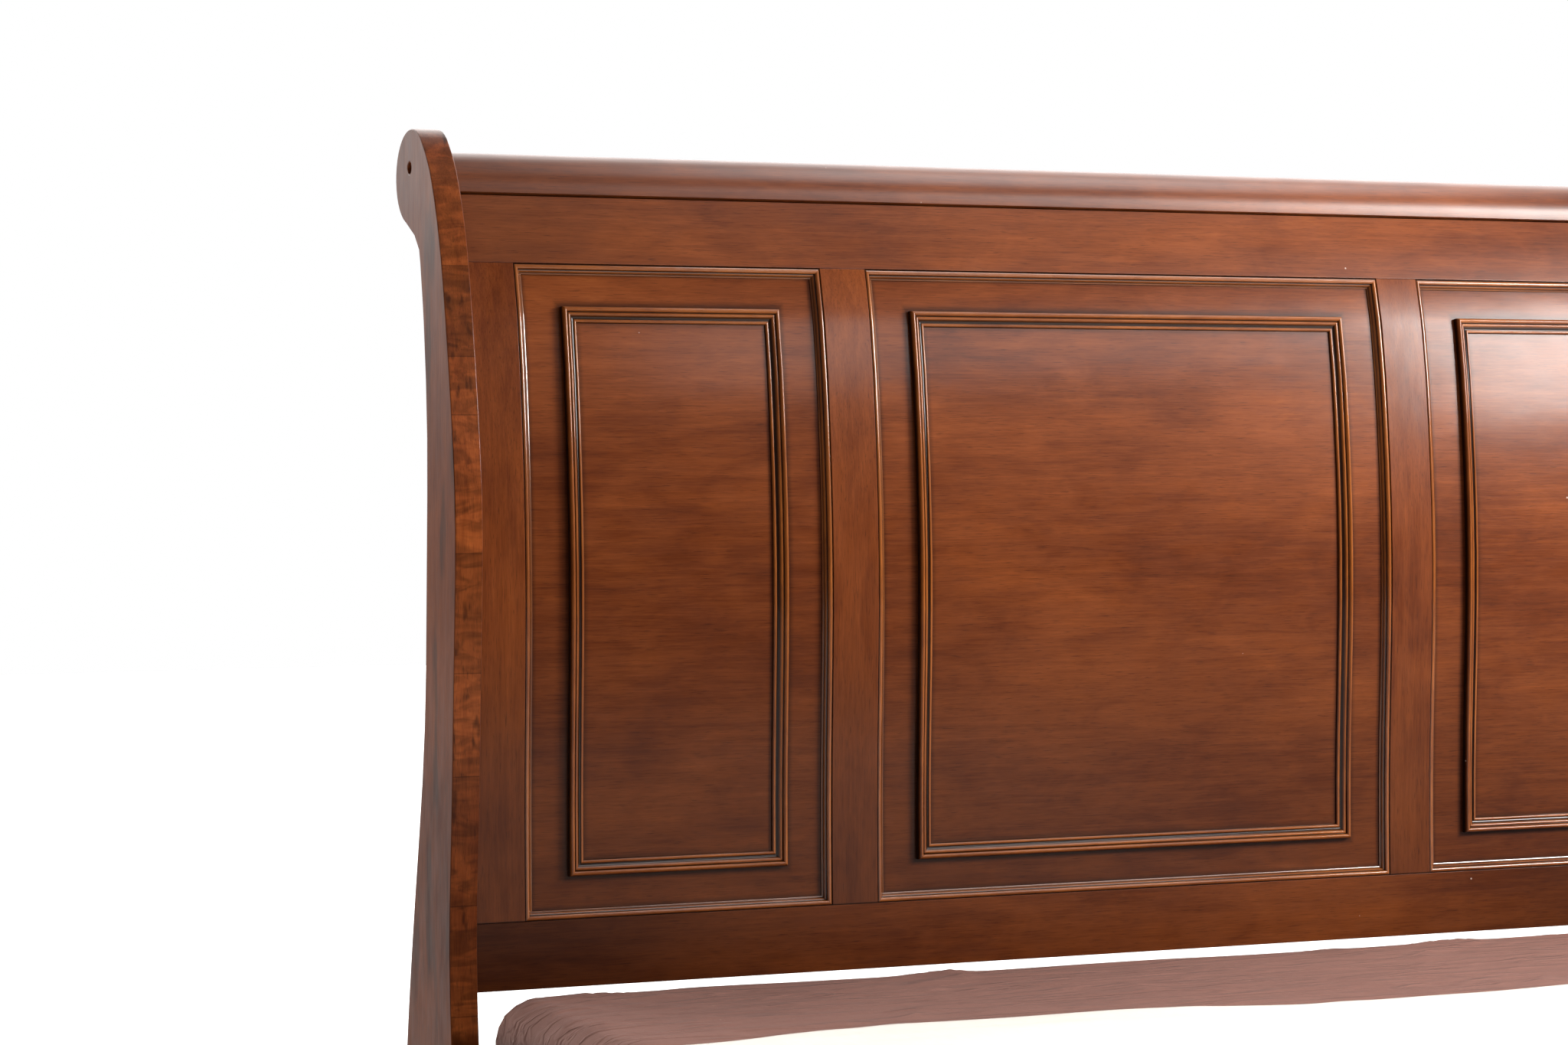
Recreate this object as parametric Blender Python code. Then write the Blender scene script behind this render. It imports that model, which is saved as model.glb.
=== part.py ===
"""Queen sleigh bed: two panelled boards whose posts curl outwards at the top, rails, slats and mattress.

Metres, +Z up. X is the width and +Y points to the head. The origin is on the floor, in the middle of the
bed's box. A board is drawn flat, by width, height and depth, and on_board bends it to the sleigh curve.
Drop is a height measured down from the top of a board's posts. Depth and reach run outwards from the
mattress side of a board's frame.
"""

import math

import bmesh
import bpy
import numpy as np

GAP = 0.0003  # between pieces that touch
CUT_PAST = 0.001  # how far a cutter runs past the face it enters

# Across the bed
CLEAR_WIDTH = 1.540  # between the posts
POST_THICK = 0.0295
STILE_WIDTH = 0.0556
SIDE_OPENING = 0.3437  # width of the two outer panel openings
MULLION_WIDTH = 0.0524

# Heights of the boards
HEAD_TOP = 1.381
HEAD_BOTTOM_EDGE = 0.500
FOOT_TOP = 0.860
FOOT_BOTTOM_EDGE = 0.120
RAIL_HEIGHT = 0.069  # bottom rail
TOP_RAIL_DROP = (0.069, 0.139)  # its top and bottom edges

# Board build-up, measured back from the decorated side
FRAME_THICK = 0.024
PANEL_RECESS = 0.0085
PANEL_THICK = 0.009
GROOVE_DEPTH = 0.009  # for the panel's edges
PANEL_PLAY = 0.0015  # at the bottom of the groove
BEAD_WIDTH = 0.010
MOULDING_MARGIN = (0.0500, 0.0435)  # sideways and up, from the opening's edge to the moulding
MOULDING_WIDTH = 0.0165
BEND_STEP = 0.052  # longest straight run of a bent piece
BEAD_CURVE = ((0.0, 0.10), (0.60, 0.14))  # shares of its width and of the panel's recess
MOULDING_CURVE = ((0.14, 1.00), (0.48, 0.55), (1.0, 0.30))  # shares of its width and of its height

# The sleigh curve of a board's mattress side, as (drop, reach)
BOARD_CURVE = ((0.031, 0.080), (0.131, 0.040), (0.281, 0.012), (0.481, 0.0), (0.681, 0.004), (0.881, 0.0))

# A post's side view: its mattress edge, its outer edge, both as (drop, reach), and the scroll between them
POST_INNER = (
    (0.033, 0.060), (0.066, 0.0400), (0.123, 0.0185), (0.186, 0.0030), (0.265, -0.0122),
    (0.333, -0.0230), (0.385, -0.0285), (0.440, -0.0290), (0.590, -0.0220), (0.705, -0.0160),
    (0.810, -0.0090), (0.853, -0.0088), (0.930, -0.0140),
)
POST_OUTER = (
    (0.113, 0.0970), (0.141, 0.0815), (0.176, 0.0750), (0.264, 0.0640), (0.324, 0.0605), (0.384, 0.0610),
    (0.490, 0.0640), (0.599, 0.0690), (0.688, 0.0815), (0.763, 0.0970), (0.839, 0.1125), (0.951, 0.1315),
    (1.150, 0.1520), (1.381, 0.1650),
)
SCROLL_CENTRE = (0.0495, 0.1125)  # drop, reach
SCROLL_RADIUS = 0.0495
SCROLL_TURN = (130.0, -70.0)  # degrees from outwards, over the top and down to the underside
SCROLL_STEPS = 22
CURL_DROP = 0.200  # below this drop the outline is nearly straight
INNER_STEPS = (0.045, 0.018)  # longest outline steps below and above it
OUTER_STEPS = (0.060, 0.015)
HEAD_LEG_REACH = -0.018  # of the straight leg's face, where a side rail meets it
FOOT_LEG_REACH = -0.029
LEG_ABOVE_RAIL = 0.006  # the straight leg starts this far above the side rail

# The roll along a board's top
ROLL_CENTRE = (0.062, 0.0995)  # drop, reach
ROLL_RADIUS = 0.038
ROLL_GROOVE = 0.0018  # between the top rail and the roll
ROLL_PLAY = 0.0006  # behind the top rail
ROLL_STEPS = 26

# The bolt through each scroll into the roll
BOLT_PLACE = (0.040, 0.1165)  # drop, reach
BOLT_HEAD_RADIUS = 0.0058
BOLT_HEAD_LENGTH = 0.006
BOLT_SOCKET_RADIUS = 0.0025
BOLT_SOCKET_DEPTH = 0.003
BOLT_RADIUS = 0.003
BOLT_LENGTH = 0.055  # of the shank
COUNTERBORE_RADIUS = 0.0065
COUNTERBORE_DEPTH = 0.0175
BOLT_PLAY = 0.0004  # round the shank

# Side rails, cleats, slats
BOARD_SPACING = 2.090  # between the two boards' mattress sides
SIDE_RAIL_THICK = 0.025
SIDE_RAIL_SETBACK = 0.0  # of a rail's outer face from the posts'
SIDE_RAIL_Z = (0.190, 0.405)
CLEAT_SIZE = (0.024, 0.030)  # width, height
CLEAT_TOP = 0.235
CLEAT_SHORT = 0.030  # a cleat stops this far from each end of its rail
SLAT_SIZE = (0.070, 0.018)  # width, thickness
SLAT_COUNT = 14
SLAT_END_MARGIN = 0.045  # from the mattress's ends to the first slat
SLAT_SIDE_ROOM = 0.004  # to the side rails
STRAP_SIZE = (0.030, 0.0015)
STRAP_SINK = 0.0004  # how far a strap is pressed into the slats
STRAP_SHARE = 0.30  # a strap's place, as a share of the clear width from the middle
BEAM_SIZE = (0.045, 0.062)  # cross beam's width and depth
BEAM_PLAY = 0.003  # between its notches and the cleats
CENTRE_LEG = 0.050
LEG_CLEARANCE = 0.028  # under the centre leg

# Bed-rail brackets
PLATE_SIZE = (0.018, 0.0025, 0.130)
HOOK_THICK = 0.003
HOOK_REACH = 0.0105
HOOK_HEIGHT = 0.030
HOOK_LIP = 0.007
HOOK_OFFSET = 0.034  # of each hook from the plate's middle
SLOT_PLAY = 0.0008
POCKET_SIZE = (0.009, 0.015, 0.116)

# Levelling foot
PAD_RADIUS = 0.021
PAD_HEIGHT = 0.009
PAD_CHAMFER = 0.002
PAD_SOCKET = (0.0052, 0.0055)  # radius, depth
STUD_RADIUS = 0.004
STUD_NUT = (0.0085, 0.012, 0.018)  # corner radius, bottom, top
STUD_ENGAGED = 0.036  # length of the stud in the leg
STUD_PLAY = 0.0004
STUD_END_ROOM = 0.004

# Mattress and bedding
MATTRESS_SIDE_ROOM = 0.0055  # to the side rails
MATTRESS_HEAD_REACH = -0.037  # its head end, from the headboard
MATTRESS_FOOT_REACH = -0.025  # its foot end, from the footboard
MATTRESS_THICK = 0.2445
MATTRESS_CORNER = 0.050  # radius in plan
MATTRESS_EDGE = 0.038  # radius of the top edge
LEAST_CORNER = 0.004  # radius in plan of the innermost loops
SHEET_THICK = 0.0015
SHEET_HEM = 0.012  # above the mattress's underside
COVER_THICK = 0.0025
COVER_EDGE = 0.375  # from the mattress's head end to the coverlet's edge
COVER_DROP = 0.150  # how far it hangs beside the mattress
CORNER_STEPS = 4
EDGE_STEPS = 3


# Materials

CHERRY = ("cherry", (0.23, 0.065, 0.024), 0.32, 0.0)
CHERRY_DARK = ("cherry_dark", (0.12, 0.033, 0.014), 0.35, 0.0)
PINE = ("pine", (0.62, 0.44, 0.26), 0.60, 0.0)
STEEL = ("steel", (0.30, 0.29, 0.28), 0.38, 1.0)
PLASTIC = ("black_plastic", (0.03, 0.03, 0.03), 0.50, 0.0)
TICKING = ("ticking", (0.80, 0.79, 0.76), 0.85, 0.0)
BROWN_SHEET = ("brown_sheet", (0.24, 0.15, 0.125), 0.80, 0.0)
CREAM_COVER = ("cream_cover", (0.86, 0.82, 0.74), 0.85, 0.0)


def material(name, colour, roughness, metallic):
    """The Principled material of that name, made at its first use."""
    found = bpy.data.materials.get(name)
    if found:
        return found
    made = bpy.data.materials.new(name)
    made.use_nodes = True
    shader = made.node_tree.nodes["Principled BSDF"]
    shader.inputs["Base Color"].default_value = (*colour, 1.0)
    shader.inputs["Roughness"].default_value = roughness
    shader.inputs["Metallic"].default_value = metallic
    made.diffuse_color = (*colour, 1.0)
    return made


# Building meshes


def group(name):
    """An empty at the origin that holds a set of pieces together."""
    empty = bpy.data.objects.new(name, None)
    bpy.context.scene.collection.objects.link(empty)
    return empty


def add_piece(name, mesh, parent, look, origin=(0.0, 0.0, 0.0), sharp=35.0):
    """Turns a bmesh drawn in the bed's own axes into an object with its origin at the point given."""
    bmesh.ops.translate(mesh, verts=mesh.verts, vec=[-value for value in origin])
    bmesh.ops.recalc_face_normals(mesh, faces=mesh.faces)
    data = bpy.data.meshes.new(name)
    mesh.to_mesh(data)
    mesh.free()
    data.shade_smooth()
    data.set_sharp_from_angle(angle=math.radians(sharp))
    data.materials.append(material(*look))
    piece = bpy.data.objects.new(name, data)
    bpy.context.scene.collection.objects.link(piece)
    piece.location = origin
    piece.parent = parent
    return piece


def loft(rings, closed=False):
    """A bmesh skinned through rings of equally many points: capped at both ends, or joined end to start."""
    mesh = bmesh.new()
    made = [[mesh.verts.new(point) for point in ring] for ring in rings]
    pairs = list(zip(made, made[1:]))
    if closed:
        pairs.append((made[-1], made[0]))
    for low, high in pairs:
        for i, corner in enumerate(low):
            mesh.faces.new((low[i - 1], corner, high[i], high[i - 1]))
    if not closed:
        mesh.faces.new(made[0])
        mesh.faces.new(made[-1])
    return mesh


def box_mesh(low, high, into=None):
    """A box between two corners, added to the bmesh given or in a new one."""
    mesh = into or bmesh.new()
    made = bmesh.ops.create_cube(mesh, size=1.0)["verts"]
    for vert in made:
        vert.co = [low[i] if vert.co[i] < 0.0 else high[i] for i in range(3)]
    return mesh


def circle(radius, steps):
    """Points round the origin as (across, along) pairs."""
    turns = (2.0 * math.pi * i / steps for i in range(steps))
    return [(radius * math.cos(turn), radius * math.sin(turn)) for turn in turns]


def boolean(piece, name, operation, mesh):
    """Joins or cuts the piece with a hidden helper made from the bmesh, drawn in the bed's own axes."""
    bmesh.ops.recalc_face_normals(mesh, faces=mesh.faces)
    data = bpy.data.meshes.new(name)
    mesh.to_mesh(data)
    mesh.free()
    helper = bpy.data.objects.new(name, data)
    bpy.context.scene.collection.objects.link(helper)
    helper.hide_render = True
    helper.display_type = "WIRE"
    helper.parent = piece.parent
    modifier = piece.modifiers.new(name, "BOOLEAN")
    modifier.operation = operation
    modifier.solver = "EXACT"
    modifier.object = helper


# Curves


def natural_spline(knots):
    """The natural cubic spline through (position, value) knots, as a function of position."""
    at, value = np.array(sorted(knots)).T
    step = np.diff(at)
    rows = np.eye(len(at))
    target = np.zeros(len(at))
    for i in range(1, len(at) - 1):
        rows[i, i - 1 : i + 2] = step[i - 1], 2.0 * (step[i - 1] + step[i]), step[i]
        target[i] = 6.0 * ((value[i + 1] - value[i]) / step[i] - (value[i] - value[i - 1]) / step[i - 1])
    bend = np.linalg.solve(rows, target)

    def evaluate(position):
        i = int(np.clip(np.searchsorted(at, position) - 1, 0, len(at) - 2))
        after, before = at[i + 1] - position, position - at[i]
        cubic = (bend[i] * after**3 + bend[i + 1] * before**3) / (6.0 * step[i])
        first = (value[i] / step[i] - bend[i] * step[i] / 6.0) * after
        second = (value[i + 1] / step[i] - bend[i + 1] * step[i] / 6.0) * before
        return float(cubic + first + second)

    return evaluate


SLOPE_STEP = 1e-4  # for the slope of a curve
board_reach = natural_spline(BOARD_CURVE)


def steps_between(start, end, longest):
    """Evenly spaced values from start to end, none further apart than the longest step."""
    count = max(1, math.ceil(abs(end - start) / longest - 1e-9))
    return [start + (end - start) * i / count for i in range(count + 1)]


class Board:
    """One end of the bed: where its mattress side stands, which way it curls, and its heights."""

    def __init__(self, name, face_y, outwards, top, bottom_edge, leg_reach, shows_outside):
        self.name = name
        self.face_y = face_y
        self.outwards = outwards
        self.top = top
        self.bottom_edge = bottom_edge
        self.leg_reach = leg_reach
        self.shows_outside = shows_outside
        self.group = group(name)

    def y(self, reach):
        return self.face_y + self.outwards * reach

    def opening(self):
        """The heights of the panel openings' bottom and top edges."""
        return self.bottom_edge + RAIL_HEIGHT, self.top - TOP_RAIL_DROP[1]

    def bends(self, low, high):
        """The heights at which a bent piece from low to high has its folds: the same for every piece."""
        bottom, top = self.opening()
        rise = (0.0, BEAD_WIDTH, MOULDING_MARGIN[1], MOULDING_MARGIN[1] + MOULDING_WIDTH)
        marks = [bottom + step for step in rise] + [top - step for step in reversed(rise)]
        folds = [marks[0]]
        for start, end in zip(marks, marks[1:]):
            folds += steps_between(start, end, BEND_STEP)[1:]
        return [low] + [fold for fold in folds if low + 2.0 * GAP < fold < high - 2.0 * GAP] + [high]

    def bent(self, x, z, depth):
        """A point of the bent board: depth is measured square to it, outwards from its mattress side."""
        drop = self.top - z
        slope = (board_reach(drop - SLOPE_STEP) - board_reach(drop + SLOPE_STEP)) / (2.0 * SLOPE_STEP)
        square = math.hypot(1.0, slope)
        return x, self.y(board_reach(drop) + depth / square), z - depth * slope / square

    def on_board(self, x, z, back):
        """A point of the bent board, with back measured from its decorated side."""
        return self.bent(x, z, FRAME_THICK - back if self.shows_outside else back)


# Board pieces


def grooved_section(low, high, grooves):
    """The section of a frame member as (across, back) points, with a panel groove in the edges named."""
    top = PANEL_RECESS - GAP
    bottom = PANEL_RECESS + PANEL_THICK + GAP
    points = [(low, 0.0), (high, 0.0)]
    if "high" in grooves:
        inner = high - GROOVE_DEPTH
        points += [(high, top), (inner, top), (inner, bottom), (high, bottom)]
    points += [(high, FRAME_THICK), (low, FRAME_THICK)]
    if "low" in grooves:
        inner = low + GROOVE_DEPTH
        points += [(low, bottom), (inner, bottom), (inner, top), (low, top)]
    return points


def add_upright(board, name, left, right, grooves):
    """A stile or mullion between the rails."""
    bottom, top = board.opening()
    section = grooved_section(left, right, grooves)
    heights = board.bends(bottom + GAP, top - GAP)
    rings = [[board.on_board(x, z, back) for x, back in section] for z in heights]
    add_piece(f"{board.name}_{name}", loft(rings), board.group, CHERRY)


def add_rail(board, name, low, high, groove):
    """A rail from post to post, bent in its height."""
    section = []
    corners = grooved_section(low, high, groove)
    for start, end in zip(corners, corners[1:] + corners[:1]):
        across = steps_between(start[0], end[0], BEND_STEP / 2.0)
        back = np.linspace(start[1], end[1], len(across))
        section += list(zip(across, back))[:-1]
    end_x = CLEAR_WIDTH / 2.0 - GAP
    rings = [[board.on_board(x, z, back) for z, back in section] for x in (-end_x, end_x)]
    add_piece(f"{board.name}_{name}", loft(rings), board.group, CHERRY)


def add_panel(board, name, left, right):
    """A panel whose edges sit in the grooves round its opening."""
    bottom, top = board.opening()
    grow = GROOVE_DEPTH - PANEL_PLAY
    front, rear = PANEL_RECESS, PANEL_RECESS + PANEL_THICK
    section = [(left - grow, front), (right + grow, front), (right + grow, rear), (left - grow, rear)]
    heights = board.bends(bottom - grow, top + grow)
    rings = [[board.on_board(x, z, back) for x, back in section] for z in heights]
    add_piece(f"{board.name}_{name}", loft(rings), board.group, CHERRY)


def add_trim(board, name, left, right, bottom, top, profile, look):
    """A mitred ring of moulding. Its profile is (inwards, back) points, round an outer rectangle."""
    heights = board.bends(bottom, top)
    stops = [(left, z, 1, 0) for z in heights[1:-1]]
    stops.append((left, top, 1, -1))
    stops.append((right, top, -1, -1))
    stops += [(right, z, -1, 0) for z in reversed(heights[1:-1])]
    stops.append((right, bottom, -1, 1))
    stops.append((left, bottom, 1, 1))
    rings = []
    for x, z, turn_x, turn_z in stops:
        rings.append([board.on_board(x + turn_x * u, z + turn_z * u, back) for u, back in profile])
    add_piece(f"{board.name}_{name}", loft(rings, closed=True), board.group, look)


def bead_profile():
    """The bead between a frame and its panel: rounded at the frame, falling to the panel."""
    base = PANEL_RECESS - GAP
    points = [(GAP, base)]
    points += [(GAP + share * BEAD_WIDTH, rise * PANEL_RECESS) for share, rise in BEAD_CURVE]
    points.append((BEAD_WIDTH, base))
    return points


def moulding_profile():
    """The moulding laid on a panel: a tall round outer bead, a hollow and a low inner step."""
    base = PANEL_RECESS - GAP
    points = [(0.0, base)]
    points += [(share * MOULDING_WIDTH, base - rise * (base - GAP)) for share, rise in MOULDING_CURVE]
    points.append((MOULDING_WIDTH, base))
    return points


def openings():
    """The panel openings as (name, left edge, right edge), left to right."""
    side = CLEAR_WIDTH / 2.0
    outer = side - STILE_WIDTH
    inner = outer - SIDE_OPENING
    centre = inner - MULLION_WIDTH
    return (("left", -outer, -inner), ("centre", -centre, centre), ("right", inner, outer))


def add_board_frame(board):
    """Rails, stiles, mullions, panels, beads and mouldings."""
    bottom, top = board.opening()
    end_x = CLEAR_WIDTH / 2.0 - GAP
    (_, first, _), (_, left_edge, right_edge), (_, _, last) = openings()
    inner_left = left_edge - MULLION_WIDTH
    add_rail(board, "bottom_rail", board.bottom_edge, bottom, ("high",))
    add_rail(board, "top_rail", top, board.top - TOP_RAIL_DROP[0], ("low",))
    add_upright(board, "stile_left", -end_x, first, ("high",))
    add_upright(board, "mullion_left", inner_left, left_edge, ("low", "high"))
    add_upright(board, "mullion_right", right_edge, -inner_left, ("low", "high"))
    add_upright(board, "stile_right", last, end_x, ("low",))
    for name, left, right in openings():
        add_panel(board, f"panel_{name}", left, right)
        add_trim(board, f"bead_{name}", left, right, bottom, top, bead_profile(), CHERRY_DARK)
        aside, up = MOULDING_MARGIN
        edges = (left + aside, right - aside, bottom + up, top - up)
        add_trim(board, f"moulding_{name}", *edges, moulding_profile(), CHERRY_DARK)


def scroll_points():
    """The round end of a post as (drop, reach) points, from its mattress side over the top."""
    points = []
    for turn in np.linspace(*np.radians(SCROLL_TURN), SCROLL_STEPS):
        drop = SCROLL_CENTRE[0] - SCROLL_RADIUS * math.sin(turn)
        points.append((drop, SCROLL_CENTRE[1] + SCROLL_RADIUS * math.cos(turn)))
    return points


def post_outline(board):
    """A post's side view as (drop, reach) points, up its mattress side and down its outer side."""
    leg_drop = board.top - SIDE_RAIL_Z[1] - LEG_ABOVE_RAIL
    scroll = scroll_points()
    inner_knots = [knot for knot in POST_INNER if knot[0] < leg_drop - BEND_STEP / 2.0]
    inner_knots += [scroll[0], (leg_drop, board.leg_reach)]
    outer_knots = [scroll[-1], *POST_OUTER]
    inner = natural_spline(inner_knots)
    outer = natural_spline(outer_knots)
    inner_drops = steps_between(leg_drop, CURL_DROP, INNER_STEPS[0])
    inner_drops += steps_between(CURL_DROP, scroll[0][0], INNER_STEPS[1])[1:-1]
    last = outer_knots[-1][0]
    floor_drop = board.top
    outer_drops = steps_between(scroll[-1][0], CURL_DROP, OUTER_STEPS[1])[1:]
    outer_drops += steps_between(CURL_DROP, floor_drop, OUTER_STEPS[0])[1:]
    points = [(floor_drop, board.leg_reach)]
    points += [(drop, inner(drop)) for drop in inner_drops]
    points += scroll
    points += [(drop, outer(min(drop, last))) for drop in outer_drops]
    return points


def bolt_cutter(board, side):
    """The stepped hole for a roll bolt, from outside the post into the roll."""
    outside = CLEAR_WIDTH / 2.0 + POST_THICK
    stations = (
        (outside + CUT_PAST, COUNTERBORE_RADIUS),
        (outside - COUNTERBORE_DEPTH, COUNTERBORE_RADIUS),
        (outside - COUNTERBORE_DEPTH, BOLT_RADIUS + BOLT_PLAY),
        (outside - COUNTERBORE_DEPTH - BOLT_LENGTH - BOLT_PLAY, BOLT_RADIUS + BOLT_PLAY),
    )
    return turned_on_bolt(board, side, stations, 16)


def turned_on_bolt(board, side, stations, steps):
    """A round solid on a roll bolt's axis. Stations are (distance from the middle of the bed, radius)."""
    drop, reach = BOLT_PLACE
    rings = []
    for x, radius in stations:
        ring = circle(radius, steps)
        rings.append([(side * x, board.y(reach + a), board.top - drop + b) for a, b in ring])
    return loft(rings)


def add_post(board, side, name):
    """A post: its outline pulled through its thickness, with its bolt hole and bracket mortise cut out."""
    inner_x = side * CLEAR_WIDTH / 2.0
    outer_x = inner_x + side * POST_THICK
    outline = post_outline(board)
    rings = [[(x, board.y(reach), board.top - drop) for drop, reach in outline] for x in (inner_x, outer_x)]
    post = add_piece(f"{board.name}_post_{name}", loft(rings), board.group, CHERRY)
    boolean(post, f"{board.name}_bolt_hole_{name}", "DIFFERENCE", bolt_cutter(board, side))
    recess = bracket_box(board, side, PLATE_SIZE, -CUT_PAST, PLATE_SIZE[1] + GAP, GAP)
    boolean(post, f"{board.name}_plate_recess_{name}", "DIFFERENCE", recess)
    pocket = bracket_box(board, side, POCKET_SIZE, CUT_PAST, PLATE_SIZE[1] + POCKET_SIZE[1], 0.0)
    boolean(post, f"{board.name}_hook_pocket_{name}", "DIFFERENCE", pocket)


def roll_outline(board):
    """The roll's section as (reach, height) points: a circle with a rebate that fits over the top rail."""
    rail_top = board.top - TOP_RAIL_DROP[0]
    rail_low = board.top - TOP_RAIL_DROP[1]
    centre = np.array((ROLL_CENTRE[1], board.top - ROLL_CENTRE[0]))

    def on_rail(height, depth):
        _, y, z = board.bent(0.0, height, depth)
        return np.array(((y - board.face_y) * board.outwards, z))

    def on_circle(start, end):
        """Where the line from start towards end leaves the circle, as seen from its centre."""
        out = start - centre
        way = (end - start) / np.linalg.norm(end - start)
        return out + way * (math.sqrt((out @ way) ** 2 - out @ out + ROLL_RADIUS**2) - out @ way)

    back = [on_rail(z, FRAME_THICK + ROLL_PLAY) for z in steps_between(rail_top, rail_low, BEND_STEP / 2.0)]
    within = [point for point in back if np.linalg.norm(point - centre) < ROLL_RADIUS]
    corner = on_rail(rail_top + ROLL_GROOVE, FRAME_THICK + ROLL_PLAY)
    under = on_circle(within[-1], back[len(within)])
    front = on_circle(corner, on_rail(rail_top + ROLL_GROOVE, 0.0))
    first = math.atan2(front[1], front[0]) % (2.0 * math.pi)
    last = math.atan2(under[1], under[0])
    turns = np.linspace(first, last, ROLL_STEPS)
    points = [centre + ROLL_RADIUS * np.array((math.cos(turn), math.sin(turn))) for turn in turns]
    return points + within[::-1] + [corner]


def add_roll(board):
    """The roll along the top, bored at both ends for its bolts."""
    end_x = CLEAR_WIDTH / 2.0 - GAP
    outline = roll_outline(board)
    rings = [[(x, board.y(reach), z) for reach, z in outline] for x in (-end_x, end_x)]
    roll = add_piece(f"{board.name}_roll", loft(rings), board.group, CHERRY)
    for side, name in SIDES:
        boolean(roll, f"{board.name}_roll_bore_{name}", "DIFFERENCE", bolt_cutter(board, side))


def add_bolt(board, side, name):
    """A socket-headed bolt, sunk in the scroll's counterbore."""
    seat = CLEAR_WIDTH / 2.0 + POST_THICK - COUNTERBORE_DEPTH + GAP
    head = seat + BOLT_HEAD_LENGTH
    stations = (
        (seat - BOLT_LENGTH, BOLT_RADIUS),
        (seat, BOLT_RADIUS),
        (seat, BOLT_HEAD_RADIUS),
        (head, BOLT_HEAD_RADIUS),
        (head, BOLT_SOCKET_RADIUS),
        (head - BOLT_SOCKET_DEPTH, BOLT_SOCKET_RADIUS),
    )
    add_piece(f"{board.name}_bolt_{name}", turned_on_bolt(board, side, stations, 12), board.group, STEEL)


# Brackets between rails and posts


def side_rail_inside():
    """Distance of a side rail's inner face from the middle of the bed."""
    return CLEAR_WIDTH / 2.0 + POST_THICK - SIDE_RAIL_SETBACK - SIDE_RAIL_THICK


def side_rail_middle():
    """Distance of a side rail's middle plane from the middle of the bed."""
    return side_rail_inside() + SIDE_RAIL_THICK / 2.0


def bracket_middle():
    """Height of the middle of the brackets."""
    return sum(SIDE_RAIL_Z) / 2.0


def bracket_box(board, side, size, start, end, grow):
    """A box centred on a bracket, from start to end outwards of the leg's face, its other sides grown."""
    x = side * side_rail_middle()
    half_x, half_z = size[0] / 2.0 + grow, size[2] / 2.0 + grow
    ends = sorted((board.y(board.leg_reach + start), board.y(board.leg_reach + end)))
    z = bracket_middle()
    return box_mesh((x - half_x, ends[0], z - half_z), (x + half_x, ends[1], z + half_z))


def add_strike_plate(board, side, name):
    """The plate let into a leg, with a slot for each hook."""
    plate = add_piece(
        f"{board.name}_strike_plate_{name}",
        bracket_box(board, side, PLATE_SIZE, 0.0, PLATE_SIZE[1], 0.0),
        board.group,
        STEEL,
    )
    cutter = bmesh.new()
    x = side * side_rail_middle()
    half_x = HOOK_THICK / 2.0 + SLOT_PLAY
    past = PLATE_SIZE[1] + CUT_PAST
    ends = sorted((board.y(board.leg_reach - CUT_PAST), board.y(board.leg_reach + past)))
    for offset in (-HOOK_OFFSET, HOOK_OFFSET):
        low = bracket_middle() + offset - HOOK_HEIGHT / 2.0 - SLOT_PLAY
        high = bracket_middle() + offset + HOOK_HEIGHT / 2.0 + SLOT_PLAY
        box_mesh((x - half_x, ends[0], low), (x + half_x, ends[1], high), cutter)
    boolean(plate, f"{board.name}_strike_slots_{name}", "DIFFERENCE", cutter)


def add_hook_plate(board, side, name):
    """The plate let into a rail's end, with two hooks that drop behind the strike plate."""
    near, far = -2.0 * GAP - PLATE_SIZE[1], -2.0 * GAP
    plate = add_piece(
        f"{board.name}_hook_plate_{name}",
        bracket_box(board, side, PLATE_SIZE, near, far, 0.0),
        board.group,
        STEEL,
    )
    x = side * side_rail_middle()
    middle = bracket_middle()
    for number, offset in enumerate((-HOOK_OFFSET, HOOK_OFFSET)):
        top = middle + offset + HOOK_HEIGHT / 2.0
        bottom = top - HOOK_HEIGHT + HOOK_LIP
        behind = PLATE_SIZE[1] + 2.0 * GAP
        side_view = (
            (-GAP - PLATE_SIZE[1], top),
            (HOOK_REACH, top),
            (HOOK_REACH, bottom - HOOK_LIP),
            (behind, bottom - HOOK_LIP),
            (behind, bottom),
            (-GAP - PLATE_SIZE[1], bottom),
        )
        rings = []
        for edge in (x - HOOK_THICK / 2.0, x + HOOK_THICK / 2.0):
            rings.append([(edge, board.y(board.leg_reach + out), z) for out, z in side_view])
        boolean(plate, f"{board.name}_hook_{name}_{number + 1}", "UNION", loft(rings))


# Rails and slats


def add_side_rails(boards):
    """The two side rails, let in at both ends for the hook plates, and their cleats."""
    holder = group("side_rails")
    head, foot = boards
    head_end = head.y(head.leg_reach) - GAP
    foot_end = foot.y(foot.leg_reach) + GAP
    for side, name in SIDES:
        middle = side * side_rail_middle()
        half = SIDE_RAIL_THICK / 2.0
        rail = add_piece(
            f"side_rail_{name}",
            box_mesh((middle - half, foot_end, SIDE_RAIL_Z[0]), (middle + half, head_end, SIDE_RAIL_Z[1])),
            holder,
            CHERRY,
        )
        for board in boards:
            recess = bracket_box(board, side, PLATE_SIZE, -PLATE_SIZE[1] - 3.0 * GAP, CUT_PAST, GAP)
            boolean(rail, f"{board.name}_rail_recess_{name}", "DIFFERENCE", recess)
        inner = side_rail_inside() - GAP
        across = sorted((side * inner, side * (inner - CLEAT_SIZE[0])))
        add_piece(
            f"cleat_{name}",
            box_mesh(
                (across[0], foot_end + CLEAT_SHORT, CLEAT_TOP - CLEAT_SIZE[1]),
                (across[1], head_end - CLEAT_SHORT, CLEAT_TOP),
            ),
            holder,
            PINE,
        )


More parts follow.
